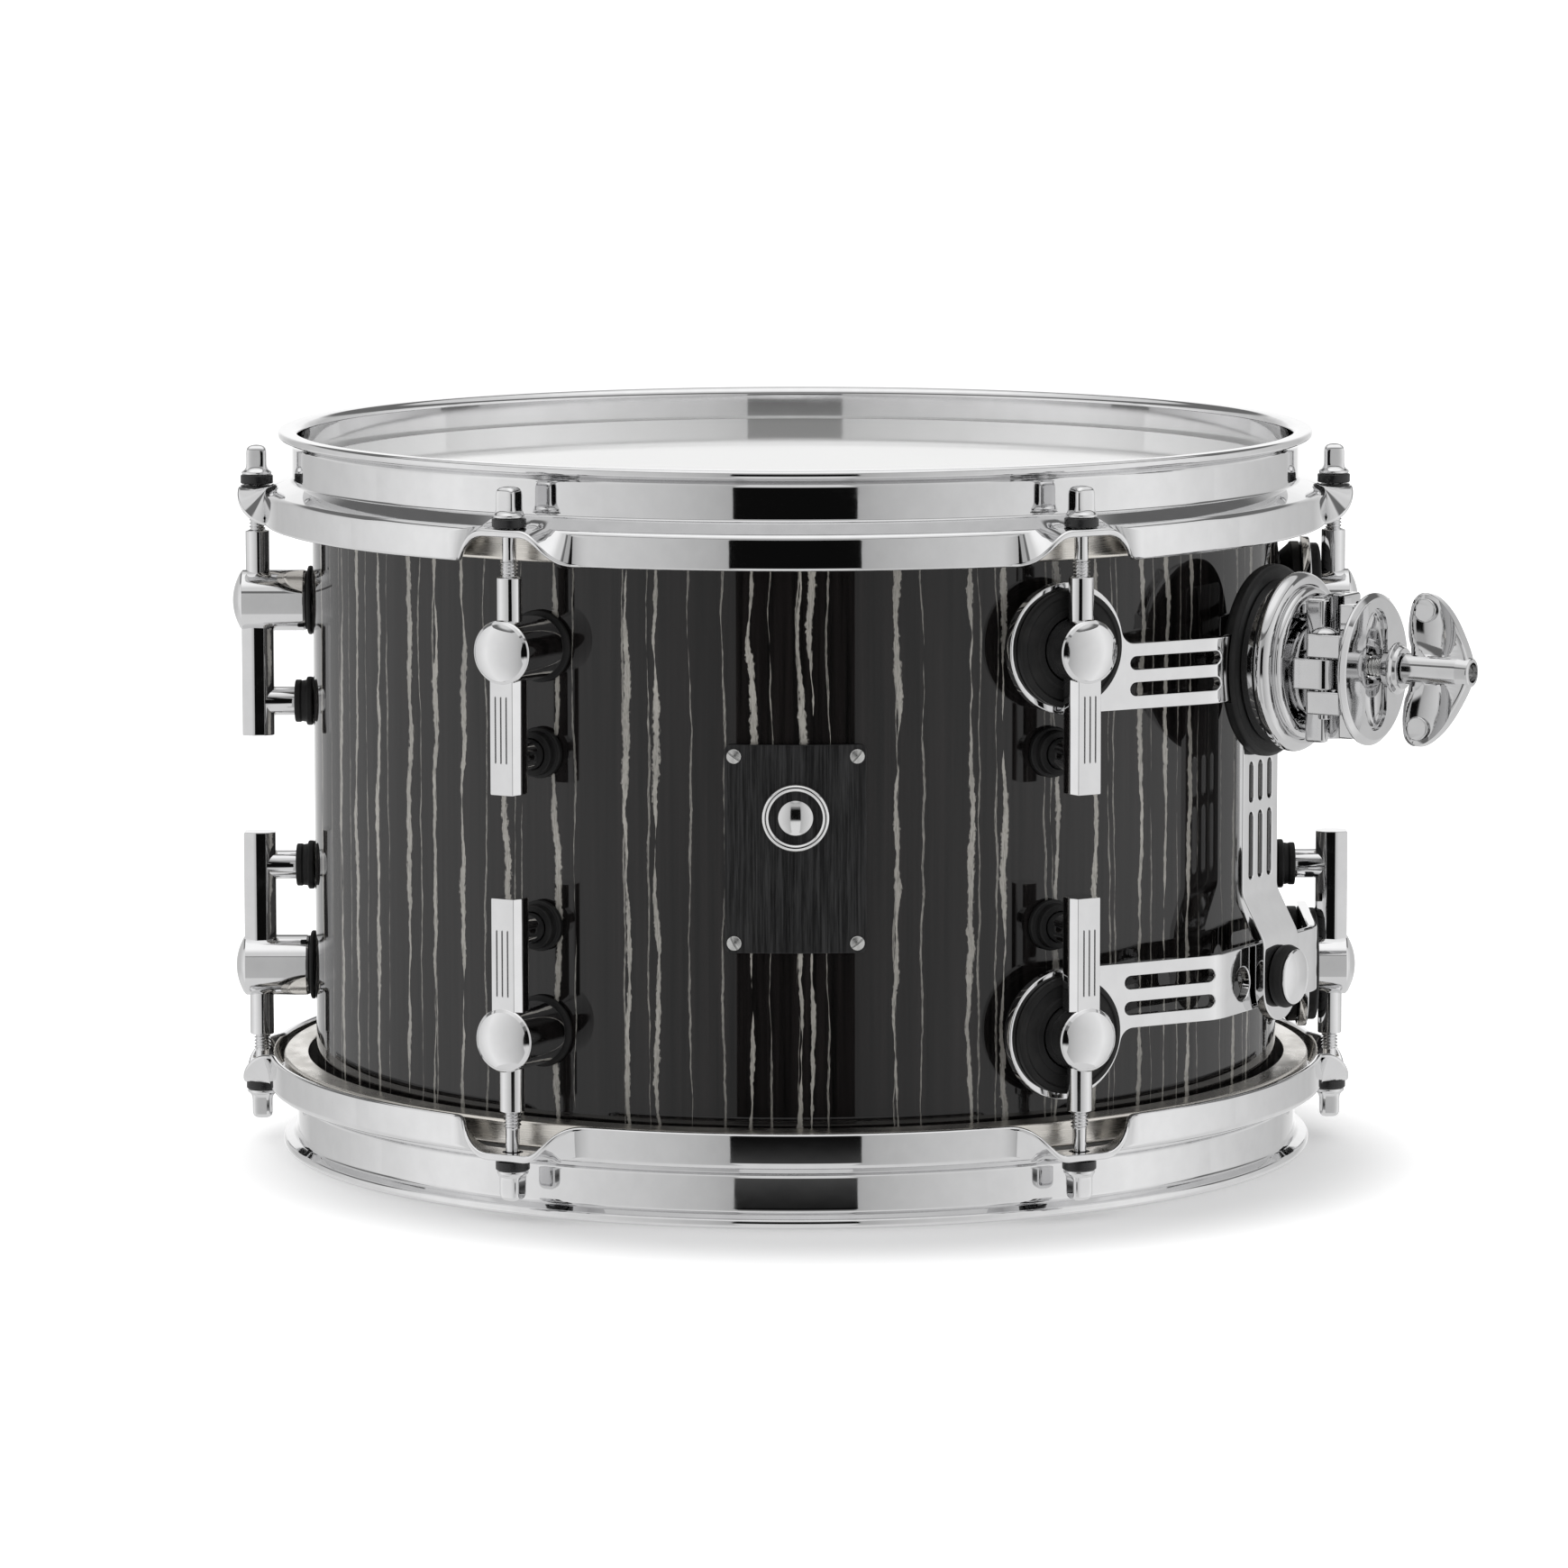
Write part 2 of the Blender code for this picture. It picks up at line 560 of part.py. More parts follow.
def make_clamp_block():
    """Fixed half of the clamp with a half-round channel and the middle hinge knuckle."""
    body = slab_at((-9.6, 16.0), (BLOCK_BACK, BLOCK_FACE), -BLOCK_HALF, BLOCK_HALF)
    boss = turn_out(turned([(16.4, 178.3), (16.4, BLOCK_BACK + 1)], 20, closed=False), z=CLAMP_Z)
    half = 4.7
    arm = slab_at((PIN_X - KNUCKLE_R, -9.0), (BLOCK_BACK, PIN_R - 2.5), -half, half)
    joined = (mesh_from("block_boss", boss), mesh_from("block_arm", arm),
              mesh_from("block_knuckle", upright(PIN_X, PIN_R, KNUCKLE_R, -half, half, 12)))
    bolt_bore = turn_out(turned([(4.0, 180.0), (4.0, 200.0)], 12, closed=False), x=BOLT_X, z=CLAMP_Z)
    cut = (mesh_from("block_channel", upright(CHANNEL_X, CHANNEL_R, CHANNEL_BORE, -30, 30, 20)),
           mesh_from("block_pin_bore", upright(PIN_X, PIN_R, PIN_BORE_R, -8, 8, 10)),
           mesh_from("block_bolt_bore", bolt_bore))
    mesh = combined("clamp_block", mesh_from("block_body", body), joined, cut)
    place("clamp_block", mesh, "chrome", rotation=wall_turn(MOUNT_AZIMUTH))


def make_clamp_jaw(axis):
    """Swinging half of the clamp: a round cap on a grooved body, with two hinge knuckles."""
    cap = turn_out(turned([(22.4, JAW_PLATE), (23.3, JAW_PLATE + 0.9), (23.3, JAW_FACE - 1.2),
                           (22.1, JAW_FACE)], 24, closed=False), x=3.0, z=CLAMP_Z)
    body = slab_at((-8.6, 17.5), (JAW_BACK, JAW_PLATE + 1), -20.5, 20.5)
    joined = [mesh_from("jaw_body", body)]
    for low, high in ((5.1, 12.2), (-12.2, -5.1)):
        near, far = PIN_X - KNUCKLE_R, PIN_X + KNUCKLE_R
        arm = [(near, -PIN_R + KNUCKLE_R), (PIN_X - 0.5, -PIN_R + KNUCKLE_R), (far, -PIN_R + 1.2),
               (far, -JAW_PLATE - 1), (near, -JAW_PLATE - 1)]
        joined.append(mesh_from("jaw_arm", extruded(arm, CLAMP_Z + low, CLAMP_Z + high, "XY")))
    slot = slot_outline(BOLT_X + 1.2, CLAMP_Z, 11.0, 8.0, steps=5)
    cut = (mesh_from("jaw_pin_bore", upright(PIN_X, PIN_R, PIN_BORE_R, -20, 20, 10)),
           mesh_from("jaw_bolt_slot", extruded(slot, -190, -212)),
           mesh_from("jaw_channel", upright(CHANNEL_X, CHANNEL_R, CHANNEL_BORE, -30, 30, 20)))
    mesh = combined("clamp_jaw", mesh_from("jaw_cap", cap), joined, cut)
    mesh.transform(Matrix.Translation((-PIN_X * MM, PIN_R * MM, 0)))
    place("clamp_jaw", mesh, "chrome", parent=axis)


def make_clamp_fasteners(pin_axis, bolt_axis):
    pin = turned([(1.8, CLAMP_Z - 13.9), (1.8, CLAMP_Z + 12.5), (2.6, CLAMP_Z + 12.5),
                  (2.4, CLAMP_Z + 13.4), (1.2, CLAMP_Z + 14.0)], 10, closed=False)
    place("hinge_pin", mesh_from("hinge_pin", pin), "steel", parent=pin_axis)
    bolt = turned([(2.9, 180.4), (2.9, 227.4), (2.3, 228.0)], 10, closed=False)
    place("clamp_bolt", mesh_from("clamp_bolt", turn_out(bolt)), "steel", parent=bolt_axis)
    washer = turned([(3.2, 202.8), (5.6, 202.8), (6.6, 205.6), (8.0, 205.8), (8.0, 207.6),
                     (6.6, 209.0), (3.2, 209.0)], 16)
    place("clamp_washer", mesh_from("clamp_washer", turn_out(washer)), "chrome", parent=bolt_axis)


def make_wing_nut(bolt_axis):
    """Barrel with two swept wings and a through hole for the bolt."""
    barrel = turn_out(turned([(4.9, 209.3), (4.9, 227.5), (4.5, WING_TIP_R)], 12, closed=False))
    half = [(230.0, 5.4), (227.4, 11.4), (223.4, 17.8), (218.6, 22.0), (214.2, 23.2), (210.9, 20.4),
            (210.2, 11.0), (211.0, 3.8)]
    outline = [(WING_TIP_R, 0.0)] + half + [(radius, -height) for radius, height in reversed(half)]
    bm = bmesh.new()
    rings = [[bm.verts.new((x, -radius, z)) for radius, z in outline] for x in (-3.0, 3.0)]
    bridge_rings(bm, rings, closed=False)
    bore = turn_out(turned([(3.15, 200.0), (3.15, 240.0)], 10, closed=False))
    mesh = combined("wing_nut", mesh_from("wing_barrel", barrel), (mesh_from("wings", bm),),
                    (mesh_from("wing_bore", bore),))
    mesh.transform(Matrix.Rotation(WING_REST, 4, "Y"))
    place("wing_nut", mesh, "chrome", parent=bolt_axis)


def make_mount():
    root = bpy.data.objects["drum_axis"]
    turn = Euler(wall_turn(MOUNT_AZIMUTH))
    pin_spot = Vector((PIN_X, -PIN_R, 0))
    pin_spot.rotate(turn)
    bolt_spot = Vector((BOLT_X, 0, CLAMP_Z))
    bolt_spot.rotate(turn)
    pin_axis = empty("jaw_axis", pin_spot, turn, root)
    bolt_axis = empty("wing_nut_axis", bolt_spot, turn, root)
    make_mount_base()
    make_clamp_block()
    make_clamp_jaw(pin_axis)
    make_clamp_fasteners(pin_axis, bolt_axis)
    make_wing_nut(bolt_axis)


def main():
    clear_scene()
    empty("drum_axis", (0, 0, -MID))
    make_shell()
    make_vent_grommet()
    make_heads()
    make_hoops()
    make_rods()
    make_lugs()
    make_badge()
    make_arm("upper_bracket_arm", 38.2, 58.4, LUG_Z, (44.5, 52.4),
             [circle_outline(0, MOUNT_Z, 4.6, 12)])
    make_arm("lower_bracket_arm", -59.0, -38.5, -LUG_Z, (-44.5, -52.4),
             [circle_outline(0, TAB_Z, 4.3, 12), circle_outline(-18.4, -49.5, 5.2, 14),
              circle_outline(18.4, -49.5, 5.2, 14)])
    make_strut()
    make_isolators()
    make_tab_fastener()
    make_mount()


main()
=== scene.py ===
"""Looks of the rack tom drum: fine meshes, materials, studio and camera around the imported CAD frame.

Pieces are made in millimetres in a wall frame (X along the wall, -Y out of the drum, Z up from the
drum's mid-plane) and then turned to their azimuth, with azimuth 0 at the badge.
"""
import math

import bmesh
import bpy
from mathutils import Matrix, Vector


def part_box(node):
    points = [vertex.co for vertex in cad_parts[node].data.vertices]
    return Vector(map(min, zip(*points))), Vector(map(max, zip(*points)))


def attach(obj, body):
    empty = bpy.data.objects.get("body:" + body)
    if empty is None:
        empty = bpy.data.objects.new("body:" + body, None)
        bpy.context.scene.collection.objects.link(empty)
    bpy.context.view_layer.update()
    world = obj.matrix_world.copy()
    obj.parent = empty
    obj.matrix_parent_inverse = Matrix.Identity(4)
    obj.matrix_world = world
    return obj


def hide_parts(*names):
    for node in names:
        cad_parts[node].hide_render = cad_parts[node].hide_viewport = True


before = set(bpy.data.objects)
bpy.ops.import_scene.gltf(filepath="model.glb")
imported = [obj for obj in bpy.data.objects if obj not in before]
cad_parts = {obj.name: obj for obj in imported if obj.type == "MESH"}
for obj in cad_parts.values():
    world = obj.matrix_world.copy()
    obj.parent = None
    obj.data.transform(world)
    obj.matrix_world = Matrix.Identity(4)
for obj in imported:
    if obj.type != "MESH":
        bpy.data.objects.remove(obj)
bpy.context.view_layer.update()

MM = 0.001
RIM_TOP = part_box("batter_hoop")[1].z
RIM_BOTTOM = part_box("resonant_hoop")[0].z
MID = (RIM_TOP + RIM_BOTTOM) / 2          # height of the drum's mid-plane, in metres
RIM_Z = (RIM_TOP - RIM_BOTTOM) / 2 / MM   # rim tip over the mid-plane, in millimetres
SHELL_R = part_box("shell")[1].x / MM
SHELL_EDGE_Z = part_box("shell")[1].z / MM - MID / MM
FACE_Z = -MID / MM

SHELL_WALL = 6.0
HOOP_R = 158.7
HOOP_T = 2.3
ROD_R = 170.0
LUG_Z = 58.3
LUG_FOOT_Z = 26.2
LUG_FACE = 178.0
LUG_DOME_R = 17.2
HEADS = (("batter", False), ("resonant", True))    # the lower one is the upper one turned over
ROD_AZIMUTHS = (-150, -90, -30, 30, 90, 150)
MOUNTED_AZIMUTHS = (30, 90)
MOUNT_AZIMUTH = 60
PLATE_T = 3.0
WING_R = 159.3
MIDDLE_R = 165.05
RING_OD_R = 19.85
RING_HOLE_R = 17.2
MOUNT_Z = 48.3
CLAMP_Z = 47.0
TAB_Z = 49.0
CHANNEL_R = 192.8
CHANNEL_X = -1.5
CHANNEL_HOLE_R = 5.75
PIN_X = -14.5
PIN_R = 193.2
BOLT_X = 9.0
KNUCKLE_R = 4.4
WING_REST = math.radians(8.0)
SMOOTH_ANGLE = math.radians(40)


# ---------------------------------------------------------------- materials
class Graph:
    """Short ways to add procedural nodes to a node tree."""

    def __init__(self, tree):
        self.nodes = tree.nodes
        self.links = tree.links

    def node(self, kind, **settings):
        made = self.nodes.new(kind)
        for key, value in settings.items():
            setattr(made, key, value)
        return made

    def feed(self, socket, source):
        """Link a node's output, or set a plain number or colour, on an input socket."""
        if isinstance(source, (int, float, tuple)):
            socket.default_value = source
        else:
            self.links.new(source, socket)

    def math(self, operation, *sources):
        node = self.node("ShaderNodeMath", operation=operation)
        for socket, source in zip(node.inputs, sources):
            self.feed(socket, source)
        return node.outputs[0]

    def fit(self, source, low, high, first, second, smooth=False):
        """Map the range from low to high onto the range from first to second."""
        node = self.node("ShaderNodeMapRange", interpolation_type="SMOOTHSTEP" if smooth else "LINEAR")
        for key, value in zip(("Value", "From Min", "From Max", "To Min", "To Max"),
                              (source, low, high, first, second)):
            self.feed(node.inputs[key], value)
        return node.outputs["Result"]

    def mix(self, factor, first, second):
        node = self.node("ShaderNodeMix", data_type="RGBA")
        for key, value in (("Factor", factor), ("A", first), ("B", second)):
            self.feed(node.inputs[key], (*value, 1.0) if isinstance(value, tuple) else value)
        return node.outputs["Result"]

    def polar(self, vector):
        """Angle about the drum's axis, 0 at the front, and height."""
        parts = self.node("ShaderNodeSeparateXYZ")
        self.links.new(vector, parts.inputs[0])
        front = self.math("MULTIPLY", parts.outputs["Y"], -1.0)
        return self.math("ARCTAN2", parts.outputs["X"], front), parts.outputs["Z"]

    def ring_level(self, angle, ring):
        """Grey level by angle to either side of the front, from a list of (degrees, level)."""
        ramp = self.node("ShaderNodeValToRGB")
        stops = ramp.color_ramp.elements
        stops.remove(stops[1])
        for i, (degrees, level) in enumerate(ring):
            stop = stops[0] if i == 0 else stops.new(degrees / 180)
            stop.position = degrees / 180
            stop.color = (level, level, level, 1)
        share = self.math("DIVIDE", self.math("ABSOLUTE", angle), math.pi)
        self.links.new(share, ramp.inputs[0])
        return ramp.outputs["Color"]


class Look(Graph):
    """A Principled material, with object coordinates for its noises."""

    def __init__(self, name, base, roughness, metallic=0.0, **sockets):
        self.mat = bpy.data.materials.new(name)
        self.mat.use_nodes = True
        super().__init__(self.mat.node_tree)
        self.shader = self.nodes["Principled BSDF"]
        sockets.update(Base_Color=(*base, 1.0), Roughness=roughness, Metallic=metallic)
        for key, value in sockets.items():
            self.shader.inputs[key.replace("_", " ")].default_value = value
        self.coord = self.node("ShaderNodeTexCoord").outputs["Object"]

    def noise(self, scale, detail=3.0, vector=None, rough=0.5):
        node = self.node("ShaderNodeTexNoise")
        for key, value in (("Scale", scale), ("Detail", detail), ("Roughness", rough)):
            node.inputs[key].default_value = value
        self.links.new(vector or self.coord, node.inputs["Vector"])
        return node.outputs["Fac"]

    def stretched(self, x, y, z):
        """Object coordinates scaled apart on each axis."""
        node = self.node("ShaderNodeMapping")
        node.inputs["Scale"].default_value = (x, y, z)
        self.links.new(self.coord, node.inputs["Vector"])
        return node.outputs[0]

    def set(self, name, source):
        self.links.new(source, self.shader.inputs[name])

    def tint(self, source, low, high, first, second):
        self.set("Base Color", self.mix(self.fit(source, low, high, 0.0, 1.0), first, second))

    def gloss(self, source, low, high, first, second, smooth=False):
        self.set("Roughness", self.fit(source, low, high, first, second, smooth))

    def bump(self, height, strength, distance=0.0001):
        node = self.node("ShaderNodeBump")
        node.inputs["Strength"].default_value = strength
        node.inputs["Distance"].default_value = distance
        self.links.new(height, node.inputs["Height"])
        self.set("Normal", node.outputs["Normal"])


def chrome_look(name, base=(0.80, 0.80, 0.805), roughness=0.035, smudge=0.05):
    """Polished plating: a faint waviness, and smudges that only show in its roughness."""
    look = Look(name, base, roughness, 1.0)
    smears = look.noise(45, 4, look.stretched(1, 1, 2.2), 0.6)
    look.gloss(smears, 0.45, 0.75, roughness, roughness + smudge, True)
    look.tint(look.noise(160, 3), 0.35, 0.7, base, tuple(value * 0.955 for value in base))
    look.bump(look.noise(70, 2), 0.05, 0.0002)
    return look.mat


def steel_look():
    """Turned, zinc-plated steel for screws, pins and the clamp bolt."""
    look = Look("plated_steel", (0.62, 0.62, 0.61), 0.24, 1.0)
    rings = look.noise(900, 2, look.stretched(1, 1, 6))
    look.gloss(rings, 0.3, 0.7, 0.18, 0.34)
    look.bump(rings, 0.12)
    return look.mat


def aluminium_look():
    """Drawn aluminium of the flesh hoops, brushed along its length."""
    look = Look("flesh_hoop_aluminium", (0.78, 0.75, 0.70), 0.28, 1.0)
    drawn = look.noise(240, 3, look.stretched(0.3, 0.3, 14))
    look.gloss(drawn, 0.3, 0.7, 0.2, 0.38)
    look.bump(drawn, 0.1)
    return look.mat


def rubber_look():
    """Satin black rubber with a fine moulded grain and a little dust."""
    look = Look("black_rubber", (0.013, 0.013, 0.0135), 0.5, 0.0, Specular_IOR_Level=0.26)
    dust = look.noise(120, 5)
    look.tint(dust, 0.5, 0.8, (0.007, 0.007, 0.0072), (0.018, 0.0175, 0.017))
    look.gloss(dust, 0.3, 0.7, 0.42, 0.6)
    look.bump(look.noise(2600, 3), 0.18)
    return look.mat


def film_look():
    """White coated drum film: sprayed grit over a smooth film."""
    base = (0.86, 0.86, 0.855)
    look = Look("coated_film", base, 0.04)
    grit = look.noise(1500, 4, rough=0.7)
    look.tint(grit, 0.6, 0.74, base, (0.66, 0.66, 0.66))
    look.gloss(look.noise(26, 4), 0.35, 0.7, 0.02, 0.06)
    look.bump(grit, 0.02)
    return look.mat


def maple_look():
    """Clear-sealed maple on the bearing edges and inside."""
    look = Look("sealed_maple", (0.62, 0.45, 0.28), 0.42)
    grain = look.noise(60, 5, look.stretched(1, 1, 12))
    look.tint(grain, 0.35, 0.7, (0.68, 0.51, 0.33), (0.50, 0.34, 0.20))
    look.bump(grain, 0.1)
    return look.mat


def wall_noise(look, around, height, across, up, detail, rough=0.5, seed=0.0):
    """Noise over the wall, with one scale round the wall and another one up it."""
    spot = look.node("ShaderNodeCombineXYZ")
    look.links.new(look.math("MULTIPLY", around, across), spot.inputs[0])
    look.links.new(look.math("MULTIPLY_ADD", height, up, seed), spot.inputs[1])
    return look.noise(1.0, detail, spot.outputs[0], rough)


def streaks(look, around, height, spacing, width, sway, seed):
    """Mask of wavering upright streaks with torn edges, that thin out and break along their length."""
    drift = wall_noise(look, around, height, 9.0, 16.0, 3, 0.6, seed)
    tear = wall_noise(look, around, height, 900.0, 420.0, 4, 0.75, seed)
    swayed = look.math("ADD", around, look.math("MULTIPLY_ADD", drift, sway, -sway / 2))
    cells = look.node("ShaderNodeTexVoronoi", voronoi_dimensions="1D")
    cells.inputs["Scale"].default_value = 1.0
    cells.inputs["Randomness"].default_value = 1.0
    look.links.new(look.math("MULTIPLY_ADD", swayed, 1 / spacing, seed), cells.inputs["W"])
    line = cells.outputs["W"]
    swell = wall_noise(look, line, height, 5.31, 22.0, 4, 0.6, seed)
    reach = look.fit(swell, 0.36, 0.58, 0.0, 0.5 * width / spacing)
    ragged = look.math("MULTIPLY", reach, look.fit(tear, 0.3, 0.7, 0.45, 1.55))
    inner = look.math("MULTIPLY", ragged, 0.72)
    return look.fit(cells.outputs["Distance"], ragged, inner, 0.0, 1.0), line


def lacquer_look():
    """Black-stained veneer with pale upright streaks, under clear gloss lacquer."""
    look = Look("striped_lacquer", (0.01, 0.009, 0.009), 0.025, IOR=1.5)
    angle, height = look.polar(look.coord)
    around = look.math("MULTIPLY", angle, SHELL_R * MM)
    broad, line = streaks(look, around, height, 0.0165, 0.0024, 0.009, 3.7)
    fine, _ = streaks(look, around, height, 0.012, 0.0008, 0.006, 11.3)
    pores = wall_noise(look, around, height, 3200.0, 260.0, 3, 0.75)
    broad = look.math("MULTIPLY", broad, look.fit(pores, 0.32, 0.52, 0.4, 1.0))
    fine = look.math("MULTIPLY", fine, look.fit(pores, 0.36, 0.6, 0.15, 0.75))
    bands = wall_noise(look, around, height, 420.0, 6.0, 5, 0.7)
    wood = look.mix(look.fit(bands, 0.35, 0.72, 0.0, 1.0), (0.0025, 0.0025, 0.0025),
                    (0.0145, 0.0125, 0.0124))
    tone = wall_noise(look, line, height, 1.0, 30.0, 1)
    pale = look.mix(look.fit(tone, 0.3, 0.7, 0.0, 1.0), (0.38, 0.365, 0.335), (0.26, 0.25, 0.23))
    look.set("Base Color", look.mix(look.math("MAXIMUM", broad, fine), wood, pale))
    look.bump(look.noise(55, 2), 0.03, 0.0002)
    return look.mat


def badge_look():
    """Black anodised plate, brushed upright."""
    look = Look("brushed_black", (0.012, 0.012, 0.0125), 0.34, 0.35)
    brushed = look.noise(1500, 3, look.stretched(1, 1, 0.03), 0.7)
    look.tint(brushed, 0.4, 0.7, (0.006, 0.006, 0.0065), (0.035, 0.035, 0.036))
    look.gloss(brushed, 0.3, 0.7, 0.26, 0.5)
    look.bump(brushed, 0.3)
    return look.mat


def washer_look():
    """Black nylon washers under the rod heads."""
    look = Look("black_nylon", (0.012, 0.012, 0.013), 0.3)
    grain = look.noise(700, 3)
    look.gloss(grain, 0.3, 0.7, 0.22, 0.38)
    look.bump(grain, 0.08)
    return look.mat


def floor_look():
    """Pale floor that glows away from the drum, its weaker glow near the drum a painted contact shadow;
    clear from below.
    """
    base = (0.93, 0.93, 0.93)
    look = Look("pale_floor", base, 0.9, Emission_Color=(1, 1, 1, 1))
    # painted contact shadow: the floor's glow is dimmed close to a point just in front of the drum's
    # middle
    away = look.node("ShaderNodeVectorMath", operation="DISTANCE")
    look.links.new(look.coord, away.inputs[0])
    away.inputs[1].default_value = (0.01, -0.035, 0.0)
    look.set("Emission Strength", look.fit(away.outputs["Value"], 0.145, 0.225, 0.13, 0.8, True))
    below = look.node("ShaderNodeNewGeometry").outputs["Backfacing"]
    look.set("Alpha", look.math("SUBTRACT", 1.0, below))
    look.tint(look.noise(2.0, 2), 0.3, 0.7, base, (0.915, 0.915, 0.92))
    return look.mat


LOOKS = {
    "hoop": chrome_look("hoop_plating", smudge=0.03),
    "lug": chrome_look("lug_plating", roughness=0.03),
    "rod": chrome_look("rod_plating", roughness=0.05),
    "bracket": chrome_look("bracket_plating", roughness=0.03),
    "clamp": chrome_look("clamp_plating", (0.70, 0.70, 0.705), 0.05, 0.06),
    "emblem": chrome_look("emblem_plating", (0.88, 0.88, 0.88), 0.08),
    "steel": steel_look(),
    "aluminium": aluminium_look(),
    "rubber": rubber_look(),
    "film": film_look(),
    "maple": maple_look(),
    "lacquer": lacquer_look(),
    "badge": badge_look(),
    "nylon": washer_look(),
}


# ---------------------------------------------------------------- outlines
def soft(points, closed=False, steps=5):
    """Polyline whose points may carry a corner radius as a third number; those corners become arcs."""
    out = []
    count = len(points)
    for i, point in enumerate(points):
        here = Vector(point[:2])
        radius = point[2] if len(point) > 2 else 0
        if not radius or (not closed and i in (0, count - 1)):
            out.append(tuple(here))
            continue
        before = Vector(points[i - 1][:2]) - here
        after = Vector(points[(i + 1) % count][:2]) - here
        turn = before.angle(after, math.pi)
        if turn > math.pi - 1e-3:
            out += [tuple(here)] * (steps + 1)
            continue
        reach = min(radius / math.tan(turn / 2), before.length * 0.49, after.length * 0.49)
        start = here + before.normalized() * reach
        end = here + after.normalized() * reach
        radius = reach * math.tan(turn / 2)
        centre = here + (before.normalized() + after.normalized()).normalized() * (
            radius / math.sin(turn / 2))
        first = math.atan2(start.y - centre.y, start.x - centre.x)
        sweep = math.atan2(end.y - centre.y, end.x - centre.x) - first
        sweep = (sweep + math.pi) % (2 * math.pi) - math.pi
        for step in range(steps + 1):
            angle = first + sweep * step / steps
            out.append((centre.x + radius * math.cos(angle), centre.y + radius * math.sin(angle)))
    return out


def arc(x, y, radius, start, end, steps=12):
    """Points on a circle from one angle to another, in degrees."""
    angles = [math.radians(start + (end - start) * i / steps) for i in range(steps + 1)]
    return [(x + radius * math.cos(a), y + radius * math.sin(a)) for a in angles]


def circle(x, y, radius, sides=48):
    return arc(x, y, radius, 0, 360, sides)[:-1]


def oblong(left, low, right, high, corner):
    return [(left, low, corner), (right, low, corner), (right, high, corner), (left, high, corner)]


def slot(x, y, length, width, upright=False, steps=8):
    radius = width / 2
    reach = length / 2 - radius
    points = arc(reach, 0, radius, -90, 90, steps) + arc(-reach, 0, radius, 90, 270, steps)
    if upright:
        points = [(-b, a) for a, b in points]
    return [(x + a, y + b) for a, b in points]


def flowing(points, steps=5):
    """Closed smooth curve through the points."""
    out = []
    count = len(points)
    for i in range(count):
        a, b, c, d = (Vector(points[(i + k) % count]) for k in (-1, 0, 1, 2))
        for step in range(steps):
            t = step / steps
            spot = (2 * b + (c - a) * t + (2 * a - 5 * b + 4 * c - d) * t * t
                    + (3 * b - a - 3 * c + d) * t ** 3) / 2
            out.append(tuple(spot))
    return out


def mirrored(points):
    """The same points on the other side of the upright axis, in reverse order."""
    return [(-x, y) for x, y in reversed(points)]


# ---------------------------------------------------------------- meshes
def linked(name, data):
    """A new object in the scene."""
    obj = bpy.data.objects.new(name, data)
    bpy.context.collection.objects.link(obj)
    return obj


def plain_mesh(name, bm):
    mesh = bpy.data.meshes.new(name)
    bm.to_mesh(mesh)
    bm.free()
    return mesh


def shaded(mesh):
    mesh.shade_smooth()
    mesh.set_sharp_from_angle(angle=SMOOTH_ANGLE)
    return mesh


def finished(name, shape):
    """Turn a bmesh in millimetres into a smooth-shaded mesh in metres, faces pointing out.
    A mesh that is already finished comes back as it is."""
    if isinstance(shape, bpy.types.Mesh):
        return shape
    bm = shape
    bmesh.ops.remove_doubles(bm, verts=bm.verts, dist=1e-4)
    bmesh.ops.dissolve_degenerate(bm, edges=bm.edges, dist=1e-5)
    bmesh.ops.recalc_face_normals(bm, faces=bm.faces)
    bmesh.ops.scale(bm, vec=(MM, MM, MM), verts=bm.verts)
    return shaded(plain_mesh(name, bm))


def loft(bm, rings, closed=False, capped=True):
    """Quads between rings of points. A ring of one point is a pole."""
    verts = [[bm.verts.new(point) for point in ring] for ring in rings]
    pairs = list(zip(verts, verts[1:]))
    if closed:
        pairs.append((verts[-1], verts[0]))
    for low, high in pairs:
        count = max(len(low), len(high))
        for i in range(count):
            j = (i + 1) % count
            corners = [low[i % len(low)], low[j % len(low)], high[j % len(high)], high[i % len(high)]]
            corners = list(dict.fromkeys(corners))
            if len(corners) > 2:
                bm.faces.new(corners)
    if capped and not closed:
        for ring in (verts[0], verts[-1]):
            if len(ring) > 2:
                bm.faces.new(ring)
    return bm


def turned(profile, sides=48, closed=False):
    """Turn a (radius, height) profile about Z; a radius of 0 makes a pole."""
    rings = [[(x, y, height) for x, y in circle(0, 0, radius, sides)] if radius > 1e-6
             else [(0, 0, height)] for radius, height in profile]
    return loft(bmesh.new(), rings, closed)


def stood(bm, x=0.0, out=0.0, z=0.0):
    """Turn a mesh's Z to point out of the drum, and put its origin there on the wall."""
    matrix = Matrix.Translation((x, -out, z)) @ Matrix.Rotation(math.radians(90), 4, "X")
    bmesh.ops.transform(bm, matrix=matrix, verts=bm.verts)
    return bm


def turned_out(profile, sides=48, closed=False, x=0.0, z=0.0):
    """Turn a (radius, distance from the drum's axis) profile about the wall frame's outward axis."""
    return stood(turned(profile, sides, closed), x, 0.0, z)


def ring_out(points, sides, x=0.0, z=0.0):
    """A turned ring, from the corners of its section."""
    return turned_out(soft(points, closed=True), sides, True, x, z)


def moved(bm, x=0.0, y=0.0, z=0.0):
    bmesh.ops.translate(bm, vec=(x, y, z), verts=bm.verts)
    return bm


def block(size, y, z=0.0):
    bm = bmesh.new()
    bmesh.ops.create_cube(bm, size=1.0)
    bmesh.ops.scale(bm, vec=size, verts=bm.verts)
    return moved(bm, y=y, z=z)


def ball(size, around, up):
    bm = bmesh.new()
    bmesh.ops.create_uvsphere(bm, u_segments=around, v_segments=up, radius=1.0)
    bmesh.ops.scale(bm, vec=size, verts=bm.verts)
    return bm


